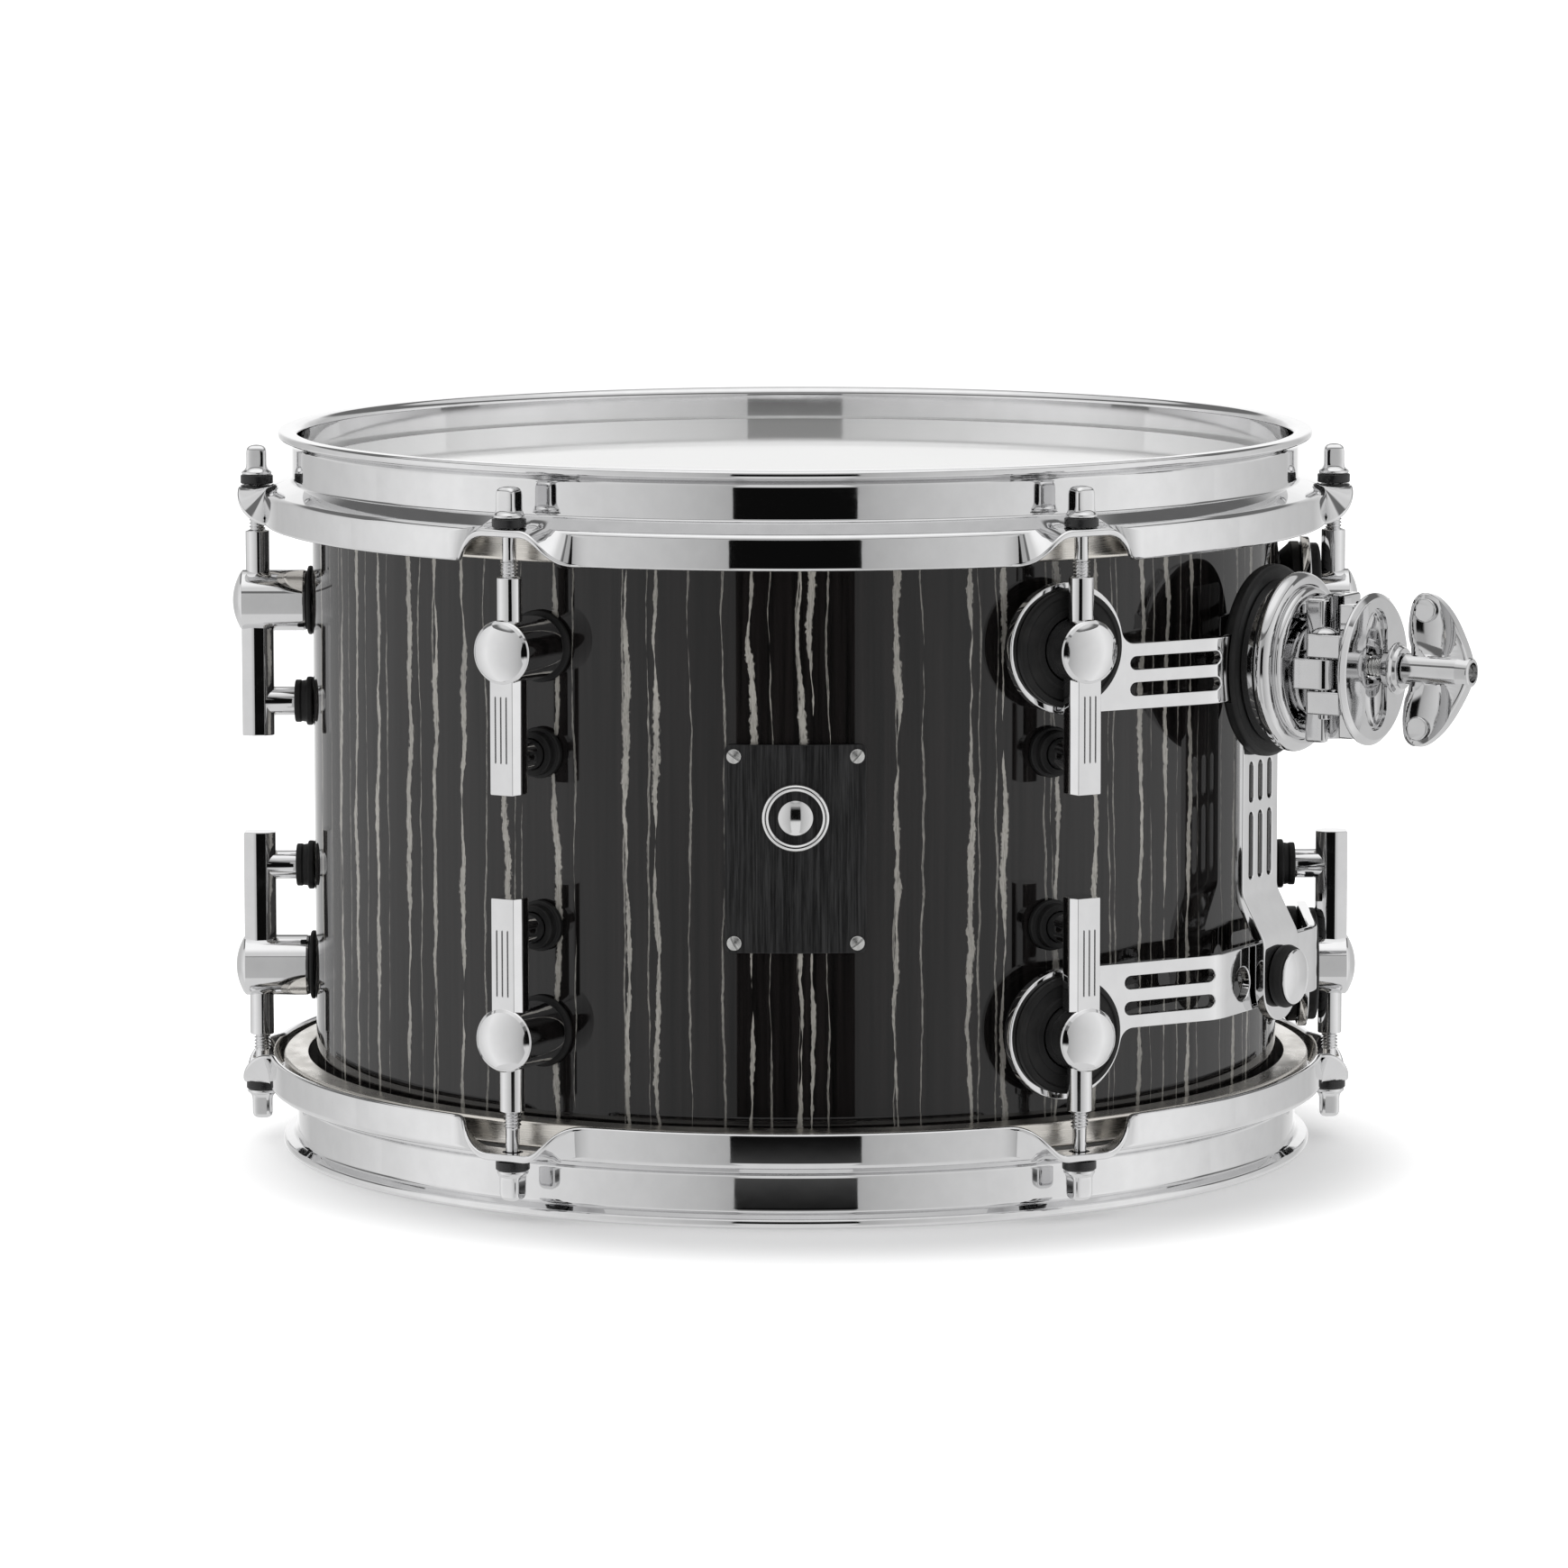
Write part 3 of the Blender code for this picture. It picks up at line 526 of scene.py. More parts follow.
def inset_loop(points, distance):
    """Move a loop into the material on its left."""
    out = []
    count = len(points)
    for i, point in enumerate(points):
        here = Vector(point)
        before = (here - Vector(points[i - 1])).normalized()
        after = (Vector(points[(i + 1) % count]) - here).normalized()
        first = Vector((-before.y, before.x))
        second = Vector((-after.y, after.x))
        scale = distance / max(0.35, 1 + first.dot(second))
        out.append(tuple(here + (first + second) * scale))
    return out


def area(points):
    return sum(a[0] * b[1] - b[0] * a[1] for a, b in zip(points, points[1:] + points[:1])) / 2


def slab(outline, holes=(), thickness=3.0, edge=0.4, cuts=()):
    """A flat plate with softened edges: outline and holes in (a, b), thickness along c from 0.
    Extra edges are added across the plate at each a in cuts, so that it can be bent there."""
    bm = bmesh.new()
    loops = [outline if area(outline) > 0 else outline[::-1]]
    loops += [hole if area(hole) < 0 else hole[::-1] for hole in holes]
    levels = [(edge * (1 - math.sin(t)), edge * (1 - math.cos(t)))
              for t in (0, math.pi / 6, math.pi / 3, math.pi / 2)]
    levels += [(inset, thickness - depth) for inset, depth in reversed(levels)]
    caps = ([], [])
    for points in loops:
        rings = []
        for inset, depth in levels:
            ring = inset_loop(points, inset) if inset else points
            rings.append([bm.verts.new((a, b, depth)) for a, b in ring])
        for low, high in zip(rings, rings[1:]):
            for i in range(len(low)):
                j = (i + 1) % len(low)
                bm.faces.new((low[i], low[j], high[j], high[i]))
        for cap, ring in zip(caps, (rings[0], rings[-1])):
            cap += [bm.edges.get((a, b)) for a, b in zip(ring, ring[1:] + ring[:1])]
    for cap in caps:
        bmesh.ops.triangle_fill(bm, use_beauty=True, use_dissolve=False, edges=cap)
    for a in cuts:
        geometry = bm.verts[:] + bm.edges[:] + bm.faces[:]
        bmesh.ops.bisect_plane(bm, geom=geometry, plane_co=(a, 0, 0), plane_no=(1, 0, 0), dist=1e-5)
    return bm


class Track:
    """A bent centre line in a plane, followed by a flat plate's length."""

    def __init__(self, points):
        self.points = [Vector(point) for point in points]
        self.at = [0.0]
        for a, b in zip(self.points, self.points[1:]):
            self.at.append(self.at[-1] + (b - a).length)
        self.length = self.at[-1]

    def tangent(self, i):
        a = self.points[max(i - 1, 0)]
        b = self.points[min(i + 1, len(self.points) - 1)]
        return (b - a).normalized()

    def place(self, distance, offset):
        """Point at a distance along the line, offset to its left."""
        last = len(self.at) - 2
        i = next((k for k in range(last) if distance < self.at[k + 1]), last)
        share = (distance - self.at[i]) / (self.at[i + 1] - self.at[i])
        spot = self.points[i].lerp(self.points[i + 1], share)
        along = self.tangent(i).lerp(self.tangent(i + 1), min(max(share, 0), 1)).normalized()
        return spot + Vector((-along.y, along.x)) * offset


def combined(name, base, joined=(), cut=()):
    """Boolean union and difference of shapes, as one new mesh."""
    host = linked("host", finished("host", base))
    tools = [host]
    for operation, shapes in (("UNION", joined), ("DIFFERENCE", cut)):
        for shape in shapes:
            tool = linked("tool", finished("tool", shape))
            modifier = host.modifiers.new(operation.lower(), "BOOLEAN")
            modifier.operation = operation
            modifier.solver = "EXACT"
            modifier.object = tool
            tools.append(tool)
    depsgraph = bpy.context.evaluated_depsgraph_get()
    depsgraph.update()
    result = bpy.data.meshes.new_from_object(host.evaluated_get(depsgraph))
    result.name = name
    for tool in tools:
        bpy.data.objects.remove(tool, do_unlink=True)
    result.materials.clear()
    return shaded(result)


def wall_matrix(azimuth=0.0, lower=False):
    matrix = Matrix.Translation((0, 0, MID)) @ Matrix.Rotation(math.radians(azimuth), 4, "Z")
    return matrix @ Matrix.Rotation(math.pi, 4, "Y") if lower else matrix


def piece(name, shape, look, body, replaces=(), azimuth=0.0, lower=False):
    """Put a shape in place on its body, with its material, slot and the nodes it stands for."""
    mesh = finished(name, shape)
    obj = linked(name, mesh)
    if not mesh.materials:
        mesh.materials.append(LOOKS[look])
    obj.matrix_world = wall_matrix(azimuth, lower)
    even = obj.modifiers.new("even_normals", "WEIGHTED_NORMAL")
    even.keep_sharp = True
    even.weight = 100
    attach(obj, body)
    if replaces:
        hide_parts(*replaces)
    return obj


def on_mount(name, shape, look, replaces=(), body="drum"):
    return piece(name, shape, look, body, replaces, MOUNT_AZIMUTH)


# ---------------------------------------------------------------- shell and heads
def make_shell():
    """Maple shell with 45 degree bearing edges, and the vent hole at its back."""
    inner = SHELL_R - SHELL_WALL
    crest = SHELL_R - 1.8
    top = [(SHELL_R, SHELL_EDGE_Z - 2.4, 1.5), (crest, SHELL_EDGE_Z, 0.5),
           (inner, SHELL_EDGE_Z - (crest - inner), 0.6)]
    levels = [(SHELL_R, SHELL_EDGE_Z - 2.4 - 20 * i) for i in range(1, 10)]
    bottom = [(r, -z, c) for r, z, c in reversed(top)]
    profile = soft(top[::-1] + levels + bottom[::-1], closed=True)
    hole = turned_out([(6.0, -SHELL_R - 5), (6.0, -inner + 5)], 40)
    mesh = combined("shell_wall", turned(profile, 240, closed=True), cut=[hole])
    for look in ("lacquer", "maple"):
        mesh.materials.append(LOOKS[look])
    for face in mesh.polygons:
        centre = face.center
        outside = math.hypot(centre.x, centre.y) > (SHELL_R - 0.25) * MM
        face.material_index = 0 if outside else 1
    piece("drum_shell", mesh, "lacquer", "drum", ["shell"])


def make_vent_grommet():
    """Plated eyelet through the wall, flared over both faces."""
    out = -SHELL_R - 0.45
    back = -SHELL_R + SHELL_WALL
    points = [(3.7, out - 1.2, 0.5), (9.3, out - 0.9, 0.6), (9.5, out, 0.2), (5.7, out, 0.3),
              (5.7, back - 0.2, 0.1), (8.4, back, 0.4), (8.0, back + 1.2, 0.5), (3.7, back + 0.8, 0.5)]
    piece("vent_eyelet", ring_out(points, 48), "hoop", "drum", ["vent_grommet"])


def make_heads():
    """Film pulled over the bearing edge, its collar crimped into an aluminium flesh hoop."""
    top = FACE_Z
    under = top - 0.4
    outer = soft([(0, top), (SHELL_R - 4.0, top), (SHELL_R - 0.6, top - 0.3, 2.0),
                  (SHELL_R + 3.2, top - 4.4, 2.5), (SHELL_R + 3.5, 86.0)], steps=6)
    back = soft([(SHELL_R + 3.0, 86.0), (SHELL_R + 2.8, top - 4.5, 2.5),
                 (SHELL_R - 0.9, under - 0.3, 2.0), (SHELL_R - 4.0, under), (0, under)], steps=6)
    rings = [(r, top) for r in (20, 60, 100, 130)]
    film = finished("film", turned(outer[:1] + rings + outer[1:] + back, 240))
    channel = soft([(SHELL_R + 4.0, 92.2, 0.5), (162.3, 92.7, 1.2), (162.8, 84.6, 1.0),
                    (SHELL_R + 2.6, 84.3, 0.6), (SHELL_R + 2.6, 85.4, 0.2), (SHELL_R + 4.0, 85.6, 0.2)],
                   closed=True)
    hoop = finished("flesh_channel", turned(channel, 180, closed=True))
    for side, lower in HEADS:
        piece(side + "_film", film, "film", "drum", [side + "_head"], lower=lower)
        piece(side + "_flesh_channel", hoop, "aluminium", "drum", [side + "_flesh_hoop"], lower=lower)


# ---------------------------------------------------------------- counterhoops
EAR_FLAT = 1.7
EAR_ROOT = 8.75
EAR_STEPS = 36
EAR_STEP = 0.25
PLAIN_STEPS = 12


def smooth(value):
    value = max(0.0, min(1.0, value))
    return value * value * (3 - 2 * value)


def smoother(value):
    value = max(0.0, min(1.0, value))
    return value ** 3 * (value * (6 * value - 15) + 10)


def hoop_section(offset):
    """Section of the hoop: rolled lip, wall, flange, and a skirt that turns up into an ear at a rod."""
    lift = 90 * smoother((EAR_ROOT - abs(offset)) / (EAR_ROOT - EAR_FLAT))
    bend = Vector((HOOP_R + 6.7, 92.8))
    flap = math.radians(lift)
    shoulder = math.radians(max(68, lift))
    length = 8.8 + 1.5 * math.sin(flap)
    out = Vector((math.sin(flap), -math.cos(flap))) * length
    inner = HOOP_R - HOOP_T
    steps = 7
    angles = [shoulder + (flap - shoulder) * i / steps for i in range(steps + 1)]
    skin = [bend + Vector((math.cos(angle), math.sin(angle))) * HOOP_T for angle in angles]
    points = [(HOOP_R, 109.4, 2.0), (HOOP_R, 97.9, 1.6)]
    points += [tuple(spot) for spot in skin]
    points += [(*(skin[-1] + out), 1.0), (*(bend + out), 1.0), (*bend, 0.8), (inner, 95.8, 2.2)]
    points += [(inner, 104.0), (inner, RIM_Z, 2.6), (HOOP_R + 4.3, RIM_Z, 1.15),
               (HOOP_R + 4.3, RIM_Z - 2.35, 1.15)]
    return soft(points, closed=True)


def make_hoops():
    """Counterhoops: sections close together over the ears, and further apart between them."""
    rings = []
    ear = EAR_STEPS * EAR_STEP
    offsets = [i * EAR_STEP for i in range(-EAR_STEPS, EAR_STEPS + 1)]
    offsets += [ear + (60 - 2 * ear) * i / (2 * PLAIN_STEPS) for i in range(1, 2 * PLAIN_STEPS)]
    for azimuth in ROD_AZIMUTHS:
        for offset in offsets:
            angle = math.radians(azimuth + offset)
            rings.append([(radius * math.sin(angle), -radius * math.cos(angle), height)
                          for radius, height in hoop_section(min(abs(offset), ear))])
    holes = [moved(turned([(3.2, 88), (3.2, 100)], 32),
                   ROD_R * math.sin(angle), -ROD_R * math.cos(angle))
             for angle in map(math.radians, ROD_AZIMUTHS)]
    mesh = combined("counterhoop", loft(bmesh.new(), rings, closed=True), cut=holes)
    for side, lower in HEADS:
        piece(side + "_counterhoop", mesh, "hoop", "drum", [side + "_hoop"], lower=lower)


# ---------------------------------------------------------------- tension rods
def key_ring(half, height, power, sides=48):
    """A ring between a circle (power 2) and a square with round corners (higher powers)."""
    points = []
    for i in range(sides):
        angle = 2 * math.pi * (i + 0.5) / sides
        c, s = math.cos(angle), math.sin(angle)
        radius = half / (abs(c) ** power + abs(s) ** power) ** (1 / power)
        points.append((radius * c, radius * s, height))
    return points


THREAD_PITCH = 1.05


def thread_rings(root, crest, low, high, sides=28, per_turn=10):
    """Rings up a helical thread, from low to high."""
    rings = []
    count = int((high - low) / THREAD_PITCH * per_turn)
    for k in range(count + 1):
        height = low + (high - low) * k / count
        ring = []
        for i in range(sides):
            turn = i / sides
            wave = abs(((height / THREAD_PITCH - turn) % 1.0) * 2 - 1)
            fade = min(1.0, (height - low) / 0.5, (high - height) / 0.5)
            radius = root + (crest - root) * smooth(wave) * max(fade, 0)
            ring.append((radius * math.cos(2 * math.pi * turn), radius * math.sin(2 * math.pi * turn),
                         height))
        rings.append(ring)
    return rings


def make_rods():
    """Key-headed rods with a real helical thread, and their black washers."""
    head = [(0.6, 107.62, 3), (1.5, 107.5, 4), (2.3, 107.2, 4.5), (2.85, 106.7, 5), (3.12, 106.0, 5.5),
            (3.2, 105.0, 6), (3.2, 103.4, 6), (3.22, 101.6, 6), (3.3, 100.9, 5), (3.5, 100.3, 4),
            (3.85, 99.8, 3), (4.3, 99.45, 2.3), (4.65, 99.25, 2), (4.78, 99.0, 2), (4.78, 98.55, 2),
            (4.62, 98.3, 2), (2.1, 98.2, 2)]
    key = loft(bmesh.new(), [[(0, 0, 107.65)]] + [key_ring(*section) for section in head])
    shank = turned([(2.1, 98.4), (2.1, 85.9), (2.3, 85.5)], 28)
    screw = loft(bmesh.new(), thread_rings(2.05, 2.68, 64.0, 85.6)[::-1])
    mesh = combined("key_rod", key, (shank, screw))
    washer = soft([(2.6, 95.35, 0.2), (5.15, 95.35, 0.4), (5.15, 98.1, 0.4), (2.6, 98.1, 0.2)],
                  closed=True)
    washer = finished("rod_washer", turned(washer, 48, closed=True))
    to_rod = Matrix.Translation((0, -ROD_R * MM, 0))
    for side, lower in HEADS:
        for index, azimuth in enumerate(ROD_AZIMUTHS, 1):
            body = f"{side}_rod_{index}"
            for name, shape, look, nodes in ((f"{side}_key_rod_{index}", mesh, "rod",
                                              [f"{side}_tension_rod_{index}"]),
                                             (f"{side}_rod_washer_{index}", washer, "nylon", [])):
                obj = piece(name, shape, look, body, nodes, azimuth, lower)
                obj.matrix_world = wall_matrix(azimuth, lower) @ to_rod


# ---------------------------------------------------------------- lugs
def lug_arm():
    """Arm with a flat front, bulging sides and a round back, ending in a flat foot."""
    half = soft([(0, -164.9), (2.6, -165.1, 1.6), (4.7, -167.6, 2.6), (4.95, -171.5, 3.0),
                 (3.9, -175.05, 0.25), (0, -175.05)])
    loop = half + mirrored(half)[1:-1]
    rings = [[(x * (1 - shrink / 5), (y + ROD_R) * (1 - shrink / 5) - ROD_R, height) for x, y in loop]
             for shrink, height in ((0.35, 15.5), (0.1, 15.6), (0.0, 15.85), (0.0, LUG_Z))]
    return loft(bmesh.new(), rings)


def make_lugs():
    """Cast lug: domed post, sleeve, grooved arm and a second small post."""
    post = soft([(0, 154.5), (9.4, 154.5, 0.4), (9.7, 155.4, 0.4), (9.7, 174.7, 0.25),
                 (9.35, 175.15, 0.25), (8.6, 175.75, 3.0)], steps=4)
    dome = arc(0, LUG_FACE - LUG_DOME_R, LUG_DOME_R, 60, 90, 10)
    sleeve = soft([(0, 60.0), (3.8, 60.0), (3.8, 80.5, 0.35), (2.95, 80.5, 0.2), (2.95, 64.0),
                   (0, 64.0)], steps=3)
    foot = soft([(0, 157.8), (4.6, 157.8, 0.3), (4.6, 168.0), (0, 168.0)], steps=3)
    joined = [lug_arm(), moved(turned(sleeve, 40), y=-ROD_R), turned_out(foot, 40, z=LUG_FOOT_Z)]
    grooves = [stood(slab(slot(x, 35.1, 20.4, 0.75, upright=True), thickness=1.2, edge=0.05),
                     out=174.65) for x in (-1.9, 0, 1.9)]
    mesh = combined("lug_casting", turned_out(post + dome, 72, z=LUG_Z), joined, grooves)
    grommet = ring_out([(4.75, 152.75, 0.2), (7.7, 152.75, 0.5), (7.75, 154.7, 0.6), (6.7, 154.9, 0.3),
                        (6.5, 156.2, 0.3), (6.75, 156.8, 0.4), (6.75, 158.4, 0.5), (4.75, 158.6, 0.3)],
                       48, z=LUG_FOOT_Z)
    grommet = finished("lug_grommet", grommet)
    gasket = ring_out([(2.0, 152.75, 0.2), (10.9, 152.75, 0.4), (10.9, 154.0, 0.6), (9.0, 154.45, 0.4),
                       (2.0, 154.45, 0.2)], 64, z=LUG_Z)
    gasket = finished("lug_gasket", gasket)
    for side, lower in HEADS:
        for index, azimuth in enumerate(ROD_AZIMUTHS, 1):
            piece(f"{side}_lug_casting_{index}", mesh, "lug", "drum", [f"{side}_lug_{index}"],
                  azimuth, lower)
            piece(f"{side}_lug_grommet_{index}", grommet, "rubber", "drum", (), azimuth, lower)
            if azimuth not in MOUNTED_AZIMUTHS:
                piece(f"{side}_lug_gasket_{index}", gasket, "rubber", "drum", (), azimuth, lower)


# ---------------------------------------------------------------- badge
BADGE_HALF_W = 21.15
BADGE_TOP = 30.9
BADGE_BOTTOM = -31.8
EMBLEM_Z = 9.0
# distance along the wall, height, and the slot's tilt in degrees
BADGE_SCREWS = ((-18.4, 27.4, 35), (18.4, 27.4, -50), (-18.4, -28.8, 62), (18.4, -28.8, -38))


def curled(bm, radius):
    """Wrap a slab in (distance, height, depth) round the shell at this radius."""
    for vert in bm.verts:
        angle = vert.co.x / radius
        reach = radius + vert.co.z
        vert.co = (reach * math.sin(angle), -reach * math.cos(angle), vert.co.y)
    return bm


def make_badge():
    """Curved brushed plate with a plain ring-and-disc emblem and four slotted screws."""
    outline = soft(oblong(-BADGE_HALF_W, BADGE_BOTTOM, BADGE_HALF_W, BADGE_TOP, 2.0), closed=True)
    base = SHELL_R + 0.3
    cuts = [BADGE_HALF_W * i / 12 for i in range(-11, 12)]
    plate = slab(outline, thickness=1.0, edge=0.25, cuts=cuts)
    piece("badge_face", curled(plate, base), "badge", "drum", ["badge_plate"])
    face = base + 1.0
    ring = [(7.9, face)] + arc(9.05, face + 0.2, 1.15, 180, 0, 16) + [(10.2, face)]
    disc_r, rise = 5.2, 1.2
    dome_r = (disc_r ** 2 + rise ** 2) / (2 * rise)
    disc = [(0, face - 0.1), (disc_r, face - 0.1), (disc_r, face + 0.25)]
    disc += arc(0, face + 0.25 + rise - dome_r, dome_r, 68, 90, 10)
    piece("emblem_ring", turned_out(ring, 72, True, z=EMBLEM_Z), "emblem", "drum", ["badge_emblem"])
    piece("emblem_disc", turned_out(disc, 56, z=EMBLEM_Z), "emblem", "drum")
    head = soft([(0, 0), (2.2, 0, 0.1), (2.25, 0.5, 0.3), (0, 1.1)])
    screw = combined("badge_screw", turned_out(head, 36), cut=[block((6.0, 1.4, 0.55), -1.2)])
    for index, (along, height, tilt) in enumerate(BADGE_SCREWS, 1):
        azimuth = math.degrees(along / face)
        obj = piece(f"plate_screw_{index}", screw, "steel", "drum", [f"badge_screw_{index}"])
        turn = Matrix.Rotation(math.radians(tilt), 4, "Y")
        spot = Matrix.Translation((0, -face * MM, height * MM))
        obj.matrix_world = wall_matrix(azimuth) @ spot @ turn


# ---------------------------------------------------------------- suspension bracket
HALF_TURN = math.radians(30)
WING_BEND = 14.0
ARM_REACH = 24.0           # of an arm's line past its ring's centre


def arm_track():
    """Centre line of an arm from one ring's centre to the other, seen from above."""
    wing = WING_R + PLATE_T / 2
    middle = MIDDLE_R + PLATE_T / 2
    corner_x = (wing - middle * math.cos(HALF_TURN)) / math.sin(HALF_TURN)
    end_x = wing * math.sin(HALF_TURN)
    end_r = wing * math.cos(HALF_TURN)
    tip_x = end_x + ARM_REACH * math.cos(HALF_TURN)
    tip_r = end_r - ARM_REACH * math.sin(HALF_TURN)
    points = [(-tip_x, tip_r), (-corner_x, middle, WING_BEND), (corner_x, middle, WING_BEND),
              (tip_x, tip_r)]
    return Track(soft(points, steps=10))


def arm_outline(ring_at):
    """Half of an arm's flat pattern, as distance from its middle and height: strip, fillet, ring."""
    high = 58.4
    fillet = 4.5
    rise = high + fillet - LUG_Z
    side = math.sqrt((RING_OD_R + fillet) ** 2 - rise ** 2)
    angle = math.degrees(math.atan2(rise, -side))
    corner = arc(ring_at - side, high + fillet, fillet, -90, angle - 180, 8)
    return [(0, high)] + corner + arc(ring_at, LUG_Z, RING_OD_R, angle, -90, 44)


def make_arms():
    """Slotted arms between two rings. The lower one has two more holes beside its bolt."""
    track = arm_track()
    ring_at = track.length / 2 - ARM_REACH
    half = arm_outline(ring_at)
    outline = [(-x, y) for x, y in half] + half[:0:-1]
    corner = ring_at - 54.5
    bend_cuts = [side * (corner + 5.5 * (i - 5) / 5) for side in (-1, 1) for i in range(11)]
    for level, lower, slot_along, bolt_z, extra in (("upper", False, 38.65, MOUNT_Z, []),
                                                    ("lower", True, 37.1, TAB_Z, [18.4])):
        holes = [circle(side * ring_at, LUG_Z, RING_HOLE_R, 72) for side in (-1, 1)]
        for side in (-1, 1):
            holes += [slot(side * (ring_at - slot_along), height, 32.3, 4.0)
                      for height in (44.5, 52.4)]
            holes += [circle(side * x, 49.5, 5.2, 40) for x in extra]
        holes.append(circle(0, bolt_z, 4.6, 40))
        plate = slab(outline, holes, PLATE_T, 0.4, bend_cuts)
        for vert in plate.verts:
            spot = track.place(track.length / 2 + vert.co.x, vert.co.z - PLATE_T / 2)
            vert.co = (spot.x, -spot.y, vert.co.y)
        piece(level + "_arm_plate", plate, "bracket", "drum", [level + "_bracket_arm"], MOUNT_AZIMUTH,
              lower)


STRUT_HALF = 11.8
STRUT_R = 161.5
STRUT_T = 3.2
STRUT_TOP = 70.0
STRUT_FOOT = -62.7


def make_strut():
    """Upright slotted plate, bent out at its foot to a round-ended tab."""
    centre = STRUT_R + STRUT_T / 2
    tab = 170.6
    points = [(STRUT_TOP, centre), (-23.5, centre, 7.0), (-37.5, tab, 7.0), (STRUT_FOOT, tab)]
    track = Track(soft(points, steps=8))
    total = track.length
    outline = soft([(0, -STRUT_HALF, 2), (total, -STRUT_HALF, STRUT_HALF),
                    (total, STRUT_HALF, STRUT_HALF), (0, STRUT_HALF, 2)], closed=True, steps=12)
    holes = [circle(total + STRUT_FOOT + TAB_Z, 0, 4.3, 32), circle(STRUT_TOP - MOUNT_Z, 0, 4.6, 32)]
    for x in (-6.2, 0, 6.2):
        for high, low in ((17.4, 4.9), (1.9, -18.9)):
            holes.append(slot(STRUT_TOP - (high + low) / 2, x, high - low, 3.0))
    cuts = [STRUT_TOP + 18.0 + 1.2 * i for i in range(22)]
    plate = slab(outline, holes, STRUT_T, 0.4, cuts)
    for vert in plate.verts:
        spot = track.place(vert.co.x, vert.co.z - STRUT_T / 2)
        vert.co = (vert.co.y, -spot.y, spot.x)
    on_mount("strut_plate", plate, "bracket", ["bracket_strut"])


def make_isolators():
    """Moulded rubber isolators: a back disc, the waist in the bracket's ring, and a ribbed face."""
    outer = 18.3
    waist = RING_HOLE_R - 0.4
    back = WING_R - 0.2
    front = WING_R + PLATE_T + 0.2
    points = [(9.9, 152.8, 0.2), (15.0, 152.8, 0.8), (17.4, 155.6, 1.0), (outer, 156.2, 0.6),
              (outer, back, 0.5), (waist, back, 0.2), (waist, front, 0.2), (outer - 0.5, front, 0.4),
              (outer - 0.5, front + 2.6, 1.0), (16.0, front + 3.1, 0.4), (15.6, front + 2.5, 0.3),
              (12.4, front + 2.7, 0.3), (12.0, front + 3.3, 0.4), (9.9, front + 3.3, 0.3)]
    mesh = finished("isolator_rubber", ring_out(points, 80, z=LUG_Z))
    for side, lower in (("upper", False), ("lower", True)):
        for spot, azimuth in zip(("front", "rear"), MOUNTED_AZIMUTHS):
            piece(f"{side}_{spot}_rubber", mesh, "rubber", "drum", [f"{side}_{spot}_isolator"],
                  azimuth, lower)


def make_tab_fastener():
    """Rubber grommet and domed bolt through the strut's tab."""
    rubber = [(4.4, 172.4, 0.2), (9.5, 172.4, 0.8), (9.75, 174.4, 1.2), (9.0, 176.3, 0.6),
              (4.4, 176.0, 0.2)]
    on_mount("tab_rubber", ring_out(rubber, 56, z=-TAB_Z), "rubber", ["tab_grommet"])
    bolt = soft([(0, 160.2), (6.5, 160.2, 0.4), (6.5, 164.7, 0.4), (3.9, 164.7), (3.9, 176.2),
                 (8.3, 176.2, 0.2), (8.5, 176.9, 0.3), (8.1, 177.4, 0.4)], steps=4)
    dome = arc(0, 178.9 - 22, 22.0, 70, 90, 8)
    on_mount("tab_bolt_dome", turned_out(bolt + dome, 56, z=-TAB_Z), "lug", ["tab_bolt"])


# ---------------------------------------------------------------- clamp
def make_mount_base():
    """Rubber pad notched over the upper arm, deep cup with two beads, and the bolt behind them."""
    pad = ring_out([(5.2, 165.2), (28.6, 165.2, 1.2), (29.4, 166.4, 1.2), (29.4, 168.9, 1.2),
                    (28.2, 169.8, 0.8), (5.2, 169.8)], 120, z=MOUNT_Z)
    mesh = combined("pad_rubber", pad, cut=[block((80.0, 8.35, 20.8), -164.175, MOUNT_Z)])
    on_mount("pad_rubber", mesh, "rubber", ["mount_pad"])
    wall = soft([(5.2, 170.0), (24.9, 170.0, 0.4), (25.3, 173.9, 0.3)], steps=4)
    bead = arc(24.35, 177.0, 3.15, -68, 118, 18)
    lip = arc(21.1, 180.2, 2.15, 20, 175, 14)
    well = soft([(18.8, 179.6), (18.2, 178.0, 0.8), (5.2, 178.0)], steps=4)
    on_mount("cup_ring", turned_out(wall + bead + [(23.0, 179.9)] + lip + well, 128, True, z=MOUNT_Z),
             "clamp", ["mount_cup"])
    bolt = soft([(0, 156.5), (6.3, 156.5, 0.5), (6.5, 161.1, 0.4), (4.0, 161.1), (4.0, 175.2),
                 (0, 175.3)], steps=3)
    on_mount("centre_bolt", turned_out(bolt, 40, z=MOUNT_Z), "steel", ["mount_bolt"])


def upright(outline, low, high, edge=0.4):
    """An upright block from an outline seen from above, in (x, distance from the drum's axis)."""
    bm = slab([(x, -r) for x, r in outline], thickness=high - low, edge=edge)
    return moved(bm, z=CLAMP_Z + low)


def bar(x, out, radius, low, high, sides=40):
    return upright(circle(x, out, radius, sides), low, high, 0.2)


